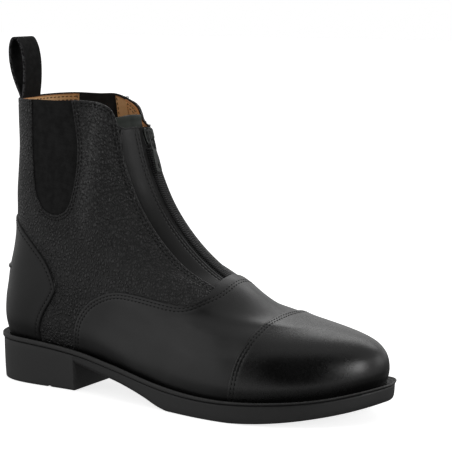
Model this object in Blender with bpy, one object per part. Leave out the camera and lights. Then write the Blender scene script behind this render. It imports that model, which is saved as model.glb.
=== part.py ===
"""A right-foot leather ankle boot with a front zip, elastic side gores and a moulded sole.

Sizes are in millimetres; MM turns them into Blender's metres. While a piece is worked out, x runs from
the heel to the toe, y from the lateral side (minus) to the medial side, and z up from the floor.
`place` moves that frame to the middle of the sole's outline. On the last, u runs round the boot (0 back,
.25 lateral, .5 front, .75 medial) and v from the feather line to the collar.
"""
import bpy
import bmesh
import numpy as np
from mathutils import Matrix, Vector

MM = 0.001

# Driving sizes
SOLE_LENGTH, REAR = 293.5, -1.75    # the sole's outline, and x at its rear rim
LIP = 3.1                # height of the welt's lip
GAP = 0.3                # clearance between pieces that meet
WALL = 1.6               # upper's own wall: lining and backing
PANEL = 1.0              # leather panels sewn over it
LINING = PANEL + GAP + WALL
CAP_RISE = 0.6           # toe cap, counter and vamp stand this far proud of the quarters
COUNTER_RISE = 0.4
VAMP_RISE = 0.2
FACING_DROP = 0.4        # the strips beside the zip lie below the quarters
INSOLE = 3.0
ZIP_SLOT = 6.0           # half the slot that the zip fills
SIDES = {"lateral": -1.0, "medial": 1.0}
FACING_EDGE = {"lateral": 20.0, "medial": 24.4}
FACING_IN = 0.2          # the facings stand back from the slot, and the elastic from both faces of the wall
ELASTIC_IN = 0.2
BREAST_X = 72.0          # front face of the heel
WIDE, BEHIND, AHEAD, BELOW, ABOVE = 90.0, -40.0, 320.0, -20.0, 230.0    # cutters reach this far

# Facets: the places round the boot are closer where the collar steps down beside the zip
COLUMNS = np.concatenate([np.linspace(0.0, 0.325, 14), [0.350, 0.368, 0.382, 0.392, 0.401, 0.412],
                          np.linspace(0.435, 0.605, 8), [0.625, 0.637, 0.647, 0.657, 0.672, 0.692, 0.712],
                          np.linspace(0.740, 0.975, 10)])
STEPS = 13
STEP_SPREAD = 1.25       # the steps are finer near the sole, where the toe turns
WELT_COLUMNS = 56

# The last: one row for each section, from the feather line to the collar. A section runs round the boot
# from its back point to its front point; half widths are given at four stations along it.
STATIONS = np.array([0.15, 0.40, 0.68, 0.92])
#    back       front        lateral half width      medial half width       how far it
#    x     z     x     z     heel waist ball  toe    heel waist ball  toe    follows the sole
LAST = np.array([
    (4.6,  29.0, 284.5, 19.9, 28.0, 36.0, 53.0, 31.5, 28.5, 26.5, 42.5, 31.5, 1.00),
    (2.0,  43.0, 286.5, 32.0, 31.5, 39.0, 55.5, 34.0, 32.0, 31.5, 46.0, 34.0, 0.90),
    (2.5,  56.0, 283.5, 42.5, 32.5, 39.0, 53.0, 32.0, 33.0, 33.0, 46.0, 32.0, 0.70),
    (4.0,  68.0, 273.0, 49.7, 32.5, 38.0, 46.5, 28.0, 33.0, 33.5, 42.5, 27.5, 0.50),
    (5.3,  78.5, 247.0, 55.5, 31.5, 36.5, 40.0, 23.0, 32.0, 34.0, 37.5, 21.5, 0.30),
    (8.6,  92.0, 217.0, 60.8, 30.0, 34.5, 38.0, 25.0, 30.5, 33.5, 36.0, 21.0, 0.15),
    (10.8, 105., 191.0, 74.7, 28.5, 33.0, 34.5, 20.5, 29.0, 32.5, 33.5, 18.5, 0.00),
    (11.5, 117.5, 170., 85.0, 27.5, 32.0, 31.5, 18.0, 27.5, 32.0, 31.5, 18.0, 0.00),
    (11.9, 132., 149.0, 102., 27.0, 32.0, 31.0, 18.0, 27.0, 32.0, 31.0, 18.0, 0.00),
    (14.0, 147.5, 131.5, 123.5, 27.0, 32.0, 31.0, 18.0, 27.0, 32.0, 31.0, 18.0, 0.00),
    (15.6, 164., 119.4, 148., 27.0, 32.5, 31.0, 18.0, 27.0, 32.5, 31.0, 18.0, 0.00),
    (15.9, 180., 113.0, 169.5, 27.3, 32.8, 31.3, 18.0, 27.3, 32.8, 31.3, 17.2, 0.00),
    (16.0, 197., 107.2, 199., 27.3, 33.0, 31.5, 18.0, 27.3, 33.0, 31.2, 16.5, 0.00),
])

# Sole: rim half widths at the four stations, top of the welt and underside along x
RIM_LATERAL = np.array([32.5, 41.0, 58.0, 36.0])
RIM_MEDIAL = np.array([33.5, 30.0, 47.0, 36.0])
#                     x    top of the welt
WELT_TOP = np.array([(0, 32.0), (35, 31.5), (72, 28.5), (110, 22.6), (150, 16.6),
                     (190, 14.2), (230, 15.6), (262, 18.6), (290, 24.2)])
#                      x    underside in front of the heel
UNDERSIDE = np.array([(72, 18.9), (90, 15.2), (115, 10.6), (137, 5.0), (148, 1.5), (156, 0.0),
                      (180, 0.0), (205, 0.0), (230, 1.7), (255, 4.9), (275, 8.6), (291, 12.7)])
#                      inset from the rim, share of the edge's height, height above that
SOLE_EDGE = np.array([(0.9, 1.0, 0.0), (1.2, 0.6, 0.0), (1.7, 0.0, 1.3), (3.0, 0.0, 0.0)])
#               inset from the rim, depth below the top: the welt's lip from below
WELT_LIP = ((0.9, LIP), (0.0, LIP - 0.9), (0.0, 0.8), (0.8, 0.0))
WELT_MEETS = 0.03        # share of the upper's height where the welt's ledge reaches it

# Seams in side view, x and z, from the feather line up
COUNTER_SEAM = np.array([(43.5, 20.), (44.6, 38.), (49.0, 50.), (56.5, 61.), (59.8, 70.), (53.0, 83.5),
                         (43.0, 93.5), (30.5, 103.5), (15.0, 113.7), (-10., 120.)])
VAMP_SEAM = np.array([(69.5, 18.), (75.3, 44.5), (80.5, 54.5), (88.0, 62.2), (99.6, 68.5), (112., 71.6),
                      (128., 71.0), (154., 67.8), (166., 67.6), (172., 71.0), (175.3, 76.3), (175.2, 84.),
                      (180., 100.)])
CAP_SEAM = np.array([(201., 4.), (204., 15.), (206.5, 27.), (209., 39.), (211.8, 49.), (215., 60.),
                     (220., 78.)])
#                 z     rear edge, front edge of the elastic gore
GORE = np.array([(118.2, 54.5, 60.5), (121., 48.0, 66.5), (126., 44.0, 70.3), (134., 40.8, 73.4),
                 (150., 39.5, 77.0), (166., 39.4, 77.8), (184., 40.0, 75.4), (206., 40.5, 71.5)])

# The collar: place round the boot, and how much of the height it reaches there
COLLAR = np.array([(0.0, 0.988), (0.15, 0.988), (0.25, 0.988), (0.32, 0.990), (0.353, 0.987), (0.370, 0.983),
                   (0.384, 0.976), (0.393, 0.966), (0.397, 0.955), (0.401, 0.945), (0.408, 0.941),
                   (0.44, 0.941), (0.56, 0.941), (0.636, 0.941), (0.643, 0.944), (0.648, 0.953),
                   (0.655, 0.963), (0.668, 0.972), (0.690, 0.980), (0.712, 0.988), (0.73, 0.992),
                   (0.78, 0.992), (0.85, 0.994), (0.92, 0.992), (1.0, 0.988)])

# Zip: shares of the height where it ends, where its chain ends and where its slider stands; depths along the
# last's normal
ZIP_END, TAPE_LOW, CHAIN_TOP, SLIDER_AT = 0.560, 0.564, 0.893, 0.922
TAPE_BACK, TAPE_FRONT, CHAIN_FRONT = -2.0, -1.2, -0.2
CHAIN_HALF = 2.0
# Guard behind the zip: its edges round the boot, its ends, its crown, and how it stands back towards its top
GUARD_EDGES, GUARD_LOW, GUARD_TOP, GUARD_CROWN = (0.3975, 0.616), 0.53, 0.956, 0.010
GUARD_THICK, GUARD_FREE, GUARD_BACK, GUARD_HALF = 1.1, 0.80, 8.5, 23.0
# Slider, from its middle on the zip: half its outline (across, along), its bridge from the side (along, out)
SLIDER = np.array([(3.2, 5.6), (4.2, 4.4), (4.2, -0.5), (3.0, -5.6), (2.2, -6.4)])
PLATE_BACK, PLATE_FRONT = -0.9, 1.0
BRIDGE = np.array([(-3.6, 0.6), (-3.6, 3.4), (-2.7, 4.3), (4.1, 4.3), (5.0, 3.4), (5.0, 0.6),
                   (4.1, 0.6), (4.1, 3.0), (3.7, 3.4), (-2.3, 3.4), (-2.7, 3.0), (-2.7, 0.6)])
BRIDGE_HALF = 1.1
# Pull tab, from its pin under the bridge: halves of its outline and of the bail's window, and the grip's hole
PIN_ALONG, PIN_OUT = 2.2, 2.2
TAB = np.array([(2.05, 0.7), (2.75, 0.0), (2.75, -10.0), (2.2, -13.0), (2.9, -16.5), (2.9, -25.0),
                (2.0, -27.2), (1.0, -28.0)])
BAIL_WINDOW = np.array([(1.65, -0.7), (1.65, -10.7), (1.0, -11.5)])
HOLE_AT, HOLE_HALF_WIDTH, HOLE_HALF_LENGTH = -23.4, 0.9, 1.7
TAB_THICK = 1.1

# Pull loop: a strap seen from the side, with its two legs sewn together at the collar
LOOP_WIDTH, LOOP_THICK = 20.0, 1.7
#                 z     back leg, front leg
LOOP = np.array([(195.2, 15.0, 18.6), (203., 11.4, 19.6), (211., 8.4, 20.0), (219., 6.7, 19.7),
                 (226., 6.4, 18.4), (231., 7.3, 16.4), (233.6, 8.8, 14.4)])
LOOP_TOP = (11.5, 235.0)

SPUR_REST_Z, SPUR_REST_HALF, SPUR_REST_DEPTH = (79.6, 82.2), 12.0, 1.2


def curve(x, table):
    """A smooth curve through the table's rows: cubic pieces with the rows' own slopes."""
    xs, ys = table[:, 0], table[:, 1]
    x = np.clip(x, xs[0], xs[-1])
    slope = np.gradient(ys, xs)
    i = np.clip(np.searchsorted(xs, x, side="right") - 1, 0, len(xs) - 2)
    step = xs[i + 1] - xs[i]
    t = (x - xs[i]) / step
    ends = (2*t**3 - 3*t**2 + 1) * ys[i] + (3*t**2 - 2*t**3) * ys[i + 1]
    return ends + step * ((t**3 - 2*t**2 + t) * slope[i] + (t**3 - t**2) * slope[i + 1])


def along(points, count):
    """Points spread along a smooth curve through the given ones."""
    k = np.arange(len(points), dtype=float)
    t = np.linspace(0, len(points) - 1, count)
    return np.stack([curve(t, np.stack([k, points[:, c]], 1)) for c in range(points.shape[1])], 1)


def welt_top(x):
    """Height of the welt's top along the sole."""
    return curve(x, WELT_TOP)


def half_width(xi, four):
    """Round-ended half width along a section: 2 sqrt(xi (1 - xi)) times the cubic through four stations."""
    ends = 2 * np.sqrt(STATIONS * (1 - STATIONS))
    cubic = (four / ends) @ np.linalg.inv(np.vander(STATIONS, 4)).T
    xi = np.clip(xi, 0, 1)
    body = ((cubic[..., 0] * xi + cubic[..., 1]) * xi + cubic[..., 2]) * xi + cubic[..., 3]
    return 2 * np.sqrt(xi * (1 - xi)) * body


def last(u, v):
    """The boot's outer form: round ends along the section at v, with the half width to that side."""
    u, v = np.broadcast_arrays(np.asarray(u, float), np.asarray(v, float))
    rows = np.arange(len(LAST)) / (len(LAST) - 1)
    row = np.stack([curve(v, np.stack([rows, LAST[:, c]], 1)) for c in range(LAST.shape[1])], -1)
    back_x, back_z, front_x, front_z = (row[..., c] for c in range(4))
    turn = 2 * np.pi * u
    xi = (1 - np.cos(turn)) / 2
    x = back_x + (front_x - back_x) * xi
    side = np.sin(turn) >= 0
    y = np.where(side, -half_width(xi, row[..., 4:8]), half_width(xi, row[..., 8:12]))
    straight = (1 - xi) * welt_top(back_x) + xi * welt_top(front_x)
    z = back_z + (front_z - back_z) * xi + row[..., 12] * (welt_top(x) - straight)
    return np.stack([x, y, z], -1)


def form(u, v, out):
    """The last moved outward along its own normal, everywhere alike or by a distance for each point."""
    small = 1e-4
    round_it = last(u + small, v) - last(u - small, v)
    up_it = last(u, np.minimum(v + small, 1)) - last(u, np.maximum(v - small, 0))
    normal = np.cross(round_it, up_it)
    return last(u, v) + np.asarray(out)[..., None] * normal / np.linalg.norm(normal, axis=-1, keepdims=True)


def collar(u):
    """Share of the height that the collar reaches: level behind, with rounded shoulders at the zip."""
    return curve(u, COLLAR)


def rim(turn, inset):
    """The sole's outline in plan, set in from the rim."""
    xi = (1 - np.cos(turn)) / 2
    lateral = np.sin(turn) >= 0
    y = np.where(lateral, -half_width(xi, RIM_LATERAL - inset), half_width(xi, RIM_MEDIAL - inset))
    return REAR + inset + (SOLE_LENGTH - 2 * inset) * xi, y


OUTLINE_Y = rim(np.linspace(0, 2 * np.pi, 721), 0.0)[1]
CENTRE = np.array([REAR + SOLE_LENGTH / 2, (OUTLINE_Y.min() + OUTLINE_Y.max()) / 2, 0.0])


def place(points):
    """From the boot's frame in millimetres to metres about the middle of the sole."""
    return (np.asarray(points, float) - CENTRE) * MM


def finish(name, colour, roughness, metallic=0.0):
    """A plain material of its own for one piece."""
    material = bpy.data.materials.new(name)
    material.use_nodes = True
    shader = material.node_tree.nodes["Principled BSDF"]
    shader.inputs["Base Color"].default_value = (*colour, 1.0)
    shader.inputs["Roughness"].default_value = roughness
    shader.inputs["Metallic"].default_value = metallic
    return material


def solid(name, points, faces, material=None):
    """One object from points in millimetres and faces: doubles merged, faces turned outward."""
    mesh = bpy.data.meshes.new(name)
    mesh.from_pydata(place(points).tolist(), [], [list(map(int, f)) for f in faces])
    work = bmesh.new()
    work.from_mesh(mesh)
    bmesh.ops.remove_doubles(work, verts=work.verts, dist=1e-6)
    bmesh.ops.recalc_face_normals(work, faces=work.faces)
    work.to_mesh(mesh)
    work.free()
    obj = bpy.data.objects.new(name, mesh)
    bpy.context.scene.collection.objects.link(obj)
    if material:
        mesh.materials.append(material)
    else:
        obj.hide_render = True
        obj.display_type = "WIRE"
    return obj


def grid_faces(rows, columns, close_rows=False, close_columns=False):
    """Triangles over a grid of points, with the same diagonal in every cell."""
    i, j = np.meshgrid(np.arange(rows if close_rows else rows - 1),
                       np.arange(columns if close_columns else columns - 1), indexing="ij")
    i2, j2 = (i + 1) % rows, (j + 1) % columns
    a, b, c, d = (p * columns + q for p, q in ((i, j), (i, j2), (i2, j2), (i2, j)))
    return np.concatenate([np.stack([a, b, c], -1).reshape(-1, 3), np.stack([a, c, d], -1).reshape(-1, 3)])


def wall(name, outer, inner, material, closed=False):
    """A closed wall between two grids of points, which run right round the boot where closed."""
    number = np.arange(outer[..., 0].size).reshape(outer.shape[:2])
    sheet = grid_faces(*number.shape, closed, False)
    faces = [*sheet, *(sheet[:, ::-1] + number.size)]
    rings = [number[:, 0], number[:, -1]]
    if not closed:
        rings = [np.concatenate([number[:, 0], number[-1, 1:], number[-2::-1, -1], number[0, -2:0:-1]])]
    for a in rings:
        b = np.roll(a, -1)
        faces += [*np.stack([a, b, b + number.size, a + number.size], 1)]
    return solid(name, np.concatenate([outer.reshape(-1, 3), inner.reshape(-1, 3)]), faces, material)


def shell(name, inner, outer, material):
    """A wall between two forms, the whole way round the boot and from the feather line to the collar."""
    t = np.linspace(0, 1, STEPS + 1) ** STEP_SPREAD
    u, v = np.broadcast_arrays(COLUMNS[:, None], t * collar(COLUMNS[:, None]))
    return wall(name, form(u, v, outer), form(u, v, inner), material, closed=True)


def slab(name, outline, low, high, axes, material=None):
    """An outline given along two axes, carried along a third; a cutter if it has no material."""
    origin, first, second, third = axes
    n = len(outline)
    points = [origin + a * first + b * second + c * third for c in (low, high) for a, b in outline]
    sides = [(i, (i + 1) % n, n + (i + 1) % n, n + i) for i in range(n)]
    return solid(name, points, [range(n), range(n, 2 * n), *sides], material)


def prism(name, outline, y_from=-WIDE, y_to=WIDE):
    """A cutter: a side-view outline carried across the boot."""
    across, ahead, up = np.eye(3)[[1, 0, 2]]
    return slab(name, outline, y_from, y_to, (np.zeros(3), ahead, up, across))


def to_side(side, near, far):
    """From a near to a far distance on one side of the boot, as limits in y."""
    return sorted((SIDES[side] * near, SIDES[side] * far))


def cut(obj, cutter, operation):
    """A live Boolean on the piece."""
    step = obj.modifiers.new(cutter.name, "BOOLEAN")
    step.object, step.operation, step.solver = cutter, operation, "EXACT"


def beside(points, distance):
    """A side-view line moved to its left by a distance."""
    way = np.gradient(points, axis=0)
    left = np.stack([-way[:, 1], way[:, 0]], 1) / np.linalg.norm(way, axis=1, keepdims=True)
    return points + distance * left


def gore_outline(inset):
    """The gore's U in side view, up one edge and down the other."""
    rows = along(GORE, 17)
    rows = rows + np.array([inset, inset, -inset])
    return np.concatenate([rows[::-1, [1, 0]], rows[:, [2, 0]]])


def beyond(seam, x):
    """Everything between a side-view seam, given from the bottom up, and an upright line at x."""
    return np.concatenate([seam, [(x, seam[-1, 1]), (x, BELOW), (seam[0, 0], BELOW)]])


def vamp_outline(grow):
    return beyond(beside(along(VAMP_SEAM, 37), grow), AHEAD)


def cap_outline(grow):
    return beyond(beside(along(CAP_SEAM, 13), grow), AHEAD)


def counter_outline(grow):
    return beyond(beside(along(COUNTER_SEAM, 28), -grow), BEHIND)


def front_outline(v_from, v_to, inward=8.0, outward=6.0):
    """A band that follows the boot's front line between two heights, and runs on above the collar."""
    count, run_on = 13, (-6.0, 20.0)
    v = np.linspace(v_from, v_to, count)
    outer, inner = (form(np.full(count, 0.5), v, out)[:, [0, 2]] for out in (outward, -inward))
    if v_to >= 1:
        outer, inner = (np.concatenate([line, line[-1:] + run_on]) for line in (outer, inner))
    return np.concatenate([outer, inner[::-1]])


def loft(name, sections, material):
    """A closed piece through closed sections; the first and last sections fold flat and are merged."""
    count, corners = sections.shape[:2]
    solid(name, sections.reshape(-1, 3), grid_faces(count, corners, False, True), material)


def make_outsole(black):
    """The moulded sole: flat heel, breast, arched waist, flat forefoot and toe spring under one top."""
    xi = (1 - np.cos(np.linspace(0, np.pi, 41))) / 2
    breast = (BREAST_X - REAR) / SOLE_LENGTH
    xi = np.sort(np.concatenate([xi, [breast, breast + GAP / SOLE_LENGTH]]))
    underside = np.maximum(curve(REAR + SOLE_LENGTH * xi, UNDERSIDE), 0.0)
    stand = np.where(xi <= breast, 0.0, underside)
    sections = []
    for turn in (np.arccos(1 - 2 * xi), 2 * np.pi - np.arccos(1 - 2 * xi)):
        edge = []
        for inset, share, above in SOLE_EDGE:
            x, y = rim(turn, inset)
            top = welt_top(x) - LIP - GAP
            edge.append(np.stack([x, y, stand + share * (top - stand) + above], 1))
        sections.append(np.stack(edge, 1))
    lateral, medial = sections
    medial[[0, -1], :, 1] = lateral[[0, -1], :, 1] = 0.0
    loft("outsole", np.concatenate([lateral, medial[:, ::-1]], 1), black)


def make_welt(black):
    """The lip round the top of the sole, with its ledge reaching in to the upper."""
    turn = 2 * np.pi * np.arange(WELT_COLUMNS) / WELT_COLUMNS
    ring = []
    for inset, down in WELT_LIP:
        x, y = rim(turn, inset)
        ring.append(np.stack([x, y, welt_top(x) - down], 1))
    ledge = form(turn / (2 * np.pi), np.full(WELT_COLUMNS, WELT_MEETS), CAP_RISE + GAP)
    for down in (0.0, LIP):
        ring.append(np.stack([ledge[:, 0], ledge[:, 1], welt_top(ledge[:, 0]) - down], 1))
    ring = np.stack(ring, 1)
    solid("welt", ring.reshape(-1, 3), grid_faces(WELT_COLUMNS, ring.shape[1], True, True), black)


def make_insole(tan):
    """A board inside the upper's lower edge, lying on the sole's top."""
    inset = LINING + 2 * GAP
    back_x, _, front_x = LAST[0, :3]
    xi = (1 - np.cos(np.linspace(0, np.pi, 33))) / 2
    x = back_x + inset + (front_x - back_x - 2 * inset) * xi
    low = welt_top(x) - LIP
    lateral = -half_width(xi, LAST[0, 4:8] - inset)
    medial = half_width(xi, LAST[0, 8:12] - inset)
    corners = [(lateral, low), (lateral, low + INSOLE), (medial, low + INSOLE), (medial, low)]
    loft("insole", np.stack([np.stack([x, y, z], 1) for y, z in corners], 1), tan)


def make_upper(lining):
    """The hollow wall, open below, at the collar, at both gores and along the zip."""
    upper = shell("upper", -LINING, -(PANEL + GAP), lining)
    for side in SIDES:
        cut(upper, prism(f"gore_hole_{side}", gore_outline(0.0), *to_side(side, GAP / 2, WIDE)), "DIFFERENCE")
    cut(upper, prism("zip_slot", front_outline(ZIP_END, 1.0), -ZIP_SLOT, ZIP_SLOT), "DIFFERENCE")


def make_panels(grained, smooth, elastic):
    """The sewn panels, each cut from a wall between two forms; a room clears a neighbour."""
    cap_cut, cap_room = (prism(f"cap_{k}", cap_outline(g)) for k, g in (("cut", 0.0), ("room", GAP)))
    vamp_cut, vamp_room = (prism(f"vamp_{k}", vamp_outline(g)) for k, g in (("cut", 0.0), ("room", GAP)))
    counter_cut, counter_room = (prism(f"counter_{k}", counter_outline(g))
                                 for k, g in (("cut", 0.0), ("room", GAP)))

    cap = shell("toe_cap", -PANEL, CAP_RISE, smooth)
    cut(cap, cap_cut, "INTERSECT")
    vamp = shell("vamp", -PANEL, VAMP_RISE, smooth)
    cut(vamp, vamp_cut, "INTERSECT")
    cut(vamp, cap_room, "DIFFERENCE")
    counter = shell("heel_counter", -PANEL, COUNTER_RISE, smooth)
    cut(counter, counter_cut, "INTERSECT")
    rest = shell("spur_rest", COUNTER_RISE + GAP, COUNTER_RISE + GAP + SPUR_REST_DEPTH, smooth)
    low, high = SPUR_REST_Z
    cut(rest, prism("spur_rest_cut", [(BEHIND, low), (BEHIND, high), (-BEHIND, high), (-BEHIND, low)],
                    -SPUR_REST_HALF, SPUR_REST_HALF), "INTERSECT")

    front_room = prism("front_room", [(80., 60.), (200., 60.), (200., ABOVE), (80., ABOVE)],
                       -FACING_EDGE["lateral"] - GAP, FACING_EDGE["medial"] + GAP)
    for side in SIDES:
        half = to_side(side, GAP / 2, WIDE)
        quarter = shell(f"quarter_{side}", -PANEL, 0.0, grained)
        box = [(BEHIND, 0.), (AHEAD, 0.), (AHEAD, ABOVE), (BEHIND, ABOVE)]
        cut(quarter, prism(f"{side}_half", box, *half), "INTERSECT")
        for room in (vamp_room, counter_room, front_room, bpy.data.objects[f"gore_hole_{side}"]):
            cut(quarter, room, "DIFFERENCE")

        facing = shell(f"zip_facing_{side}", -PANEL, -FACING_DROP, smooth)
        strip = to_side(side, ZIP_SLOT + FACING_IN, FACING_EDGE[side])
        cut(facing, prism(f"facing_cut_{side}", front_outline(0.40, 1.0, 40.0, 10.0), *strip), "INTERSECT")
        cut(facing, vamp_room, "DIFFERENCE")

        gore = shell(f"gore_{side}", -LINING + ELASTIC_IN, -PANEL - ELASTIC_IN, elastic)
        cut(gore, prism(f"gore_cut_{side}", gore_outline(GAP), *half), "INTERSECT")


def make_zip(tape_black, chain_black):
    """The zip's chain and tapes in the slot."""
    chain = shell("zip_chain", TAPE_BACK, CHAIN_FRONT, chain_black)
    band = front_outline(TAPE_LOW, CHAIN_TOP)
    cut(chain, prism("chain_cut", band, -CHAIN_HALF, CHAIN_HALF), "INTERSECT")
    for side in SIDES:
        tape = shell(f"zip_tape_{side}", TAPE_BACK, TAPE_FRONT, tape_black)
        strip = to_side(side, CHAIN_HALF + GAP, ZIP_SLOT - GAP)
        cut(tape, prism(f"tape_cut_{side}", front_outline(TAPE_LOW, 1.0), *strip), "INTERSECT")


def make_guard(grey):
    """The flap behind the zip: it lies on the lining, and its middle stands back towards its free top."""
    u, share = np.meshgrid(np.linspace(*GUARD_EDGES, 13), np.linspace(0, 1, 15), indexing="ij")
    crown = 1 - (last(u, GUARD_TOP)[..., 1] / GUARD_HALF) ** 2
    v = GUARD_LOW + share * (GUARD_TOP + GUARD_CROWN * crown - GUARD_LOW)
    t = np.clip((v - GUARD_FREE) / (GUARD_TOP - GUARD_FREE), 0, 1)
    arch = 1 - (last(u, v)[..., 1] / GUARD_HALF) ** 2
    front = -(LINING + GAP) - GUARD_BACK * arch * t * t * (3 - 2 * t)
    wall("zip_guard", form(u, v, front), form(u, v, front - GUARD_THICK), grey)


def slider_frame():
    """The slider's middle on the front line, its way up along the zip and its way out."""
    middle = last(0.5, SLIDER_AT)
    up = last(0.5, SLIDER_AT + 0.02) - last(0.5, SLIDER_AT - 0.10)
    up /= np.linalg.norm(up)
    return middle, up, np.array([up[2], 0.0, -up[0]])


def both_sides(half):
    """A whole outline from the half on the plus side."""
    return np.concatenate([half, (half * (-1, 1))[::-1]])


def make_slider(metal):
    """The slider's body with the bridge that the pull tab hangs on."""
    middle, up, out = slider_frame()
    across = np.array([0.0, 1.0, 0.0])
    body = slab("zip_slider", both_sides(SLIDER), PLATE_BACK, PLATE_FRONT, (middle, across, up, out), metal)
    cut(body, slab("slider_bridge", BRIDGE, -BRIDGE_HALF, BRIDGE_HALF, (middle, up, out, across)), "UNION")


def make_pull_tab(metal):
    """The pull tab: a bail round the bridge, a neck and a grip with an oval hole; its origin is its pin."""
    middle, up, out = slider_frame()
    pin = middle + PIN_ALONG * up + PIN_OUT * out
    axes = (pin, np.array([0.0, 1.0, 0.0]), up, out)
    tab = slab("zip_pull_tab", both_sides(TAB), -TAB_THICK / 2, TAB_THICK / 2, axes, metal)
    turn = 2 * np.pi * np.arange(12) / 12
    hole = np.stack([HOLE_HALF_WIDTH * np.cos(turn), HOLE_AT + HOLE_HALF_LENGTH * np.sin(turn)], 1)
    for name, outline in (("bail_window", both_sides(BAIL_WINDOW)), ("grip_hole", hole)):
        cut(tab, slab(name, outline, -2 * TAB_THICK, 2 * TAB_THICK, axes), "DIFFERENCE")
    origin = Vector(place(pin))
    tab.data.transform(Matrix.Translation(-origin))
    tab.location = origin


def make_pull_loop(webbing):
    """The strap: a ring in side view, between its outer face and the opening above its sewn foot, as wide as
    the webbing."""
    z, back, front = along(LOOP, 13).T
    crown_x, crown_z = LOOP_TOP
    share = (z - z[0]) / (crown_z - z[0])
    open_z = LOOP[1, 0] + share * (crown_z - LOOP_THICK - LOOP[1, 0])
    open_back, open_front = np.interp(open_z, z, back) + LOOP_THICK, np.interp(open_z, z, front) - LOOP_THICK
    legs = ((back, front, z, crown_z), (open_back, open_front, open_z, crown_z - LOOP_THICK))
    outer, inner = (np.concatenate([np.stack([x_back, height], 1), [(crown_x, top)],
                                    np.stack([x_front, height], 1)[::-1]])
                    for x_back, x_front, height, top in legs)
    half = LOOP_WIDTH / 2
    corners = ((outer, -half), (outer, half), (inner, half), (inner, -half))
    points = np.stack([np.insert(line, 1, y, axis=1) for line, y in corners], 1)
    solid("pull_loop", points.reshape(-1, 3), grid_faces(len(outer), 4, True, True), webbing)


def main():
    for obj in list(bpy.data.objects):
        bpy.data.objects.remove(obj)
    make_outsole(finish("sole_rubber", (0.012, 0.012, 0.012), 0.75))
    make_welt(finish("welt_rubber", (0.012, 0.012, 0.012), 0.65))
    make_insole(finish("insole_board", (0.55, 0.38, 0.22), 0.8))
    make_upper(finish("tan_lining", (0.62, 0.43, 0.25), 0.75))
    make_panels(finish("grained_leather", (0.010, 0.010, 0.010), 0.5),
                finish("smooth_leather", (0.010, 0.010, 0.010), 0.35),
                finish("gore_elastic", (0.008, 0.008, 0.008), 0.9))
    make_zip(finish("zip_tape", (0.008, 0.008, 0.008), 0.9), finish("zip_teeth", (0.015, 0.015, 0.015), 0.35))
    make_guard(finish("guard_leather", (0.05, 0.06, 0.058), 0.5))
    metal = finish("black_metal", (0.03, 0.03, 0.03), 0.35, 0.8)
    make_slider(metal)
    make_pull_tab(metal)
    make_pull_loop(finish("loop_webbing", (0.010, 0.010, 0.010), 0.85))


main()
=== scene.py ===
"""Looks of the zip boot: leather panels, stitching, zip, elastic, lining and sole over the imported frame.

Sizes are in millimetres in the boot's own frame: x from the heel to the toe, y from the lateral side
(minus) to the medial side, z up from the floor. `place` moves them to the row frame in metres.
On the last, u runs round the boot (0 back, .25 lateral, .5 front, .75 medial) and v from the feather line
to the collar.
"""
import bpy
import numpy as np
from mathutils import Matrix


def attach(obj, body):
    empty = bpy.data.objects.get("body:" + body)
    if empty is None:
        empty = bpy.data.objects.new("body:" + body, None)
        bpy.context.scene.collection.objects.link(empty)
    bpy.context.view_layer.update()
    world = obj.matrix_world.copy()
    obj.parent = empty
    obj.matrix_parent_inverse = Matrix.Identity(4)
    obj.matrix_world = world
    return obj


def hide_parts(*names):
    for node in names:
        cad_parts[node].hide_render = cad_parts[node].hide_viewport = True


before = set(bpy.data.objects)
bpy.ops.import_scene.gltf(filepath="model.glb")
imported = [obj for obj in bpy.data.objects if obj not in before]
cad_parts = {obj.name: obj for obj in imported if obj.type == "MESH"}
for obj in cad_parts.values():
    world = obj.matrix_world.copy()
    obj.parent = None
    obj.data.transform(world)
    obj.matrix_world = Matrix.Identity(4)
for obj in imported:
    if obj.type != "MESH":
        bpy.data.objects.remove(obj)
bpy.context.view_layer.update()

MM = 0.001
SOLE_LENGTH, REAR = 293.5, -1.75
LIP, GAP, WALL, PANEL = 3.1, 0.3, 1.6, 1.0
ZIP_SLOT, GUARD_HALF = 6.0, 20.0
FACING_EDGE = (19.6, 24.0)
BREAST_X = 72.0
BACK_HALF, FAR_OFF = 60.0, 200.0    # behind this x the leather counts as far from the zip
SHARP_ANGLE = np.radians(55)    # faces that meet at more than this show an edge
WORN_REACH = 0.7    # how far wear fades in from a leather edge

# The last: one row for each section from the feather line to the collar
STATIONS = np.array([0.15, 0.40, 0.68, 0.92])
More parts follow.
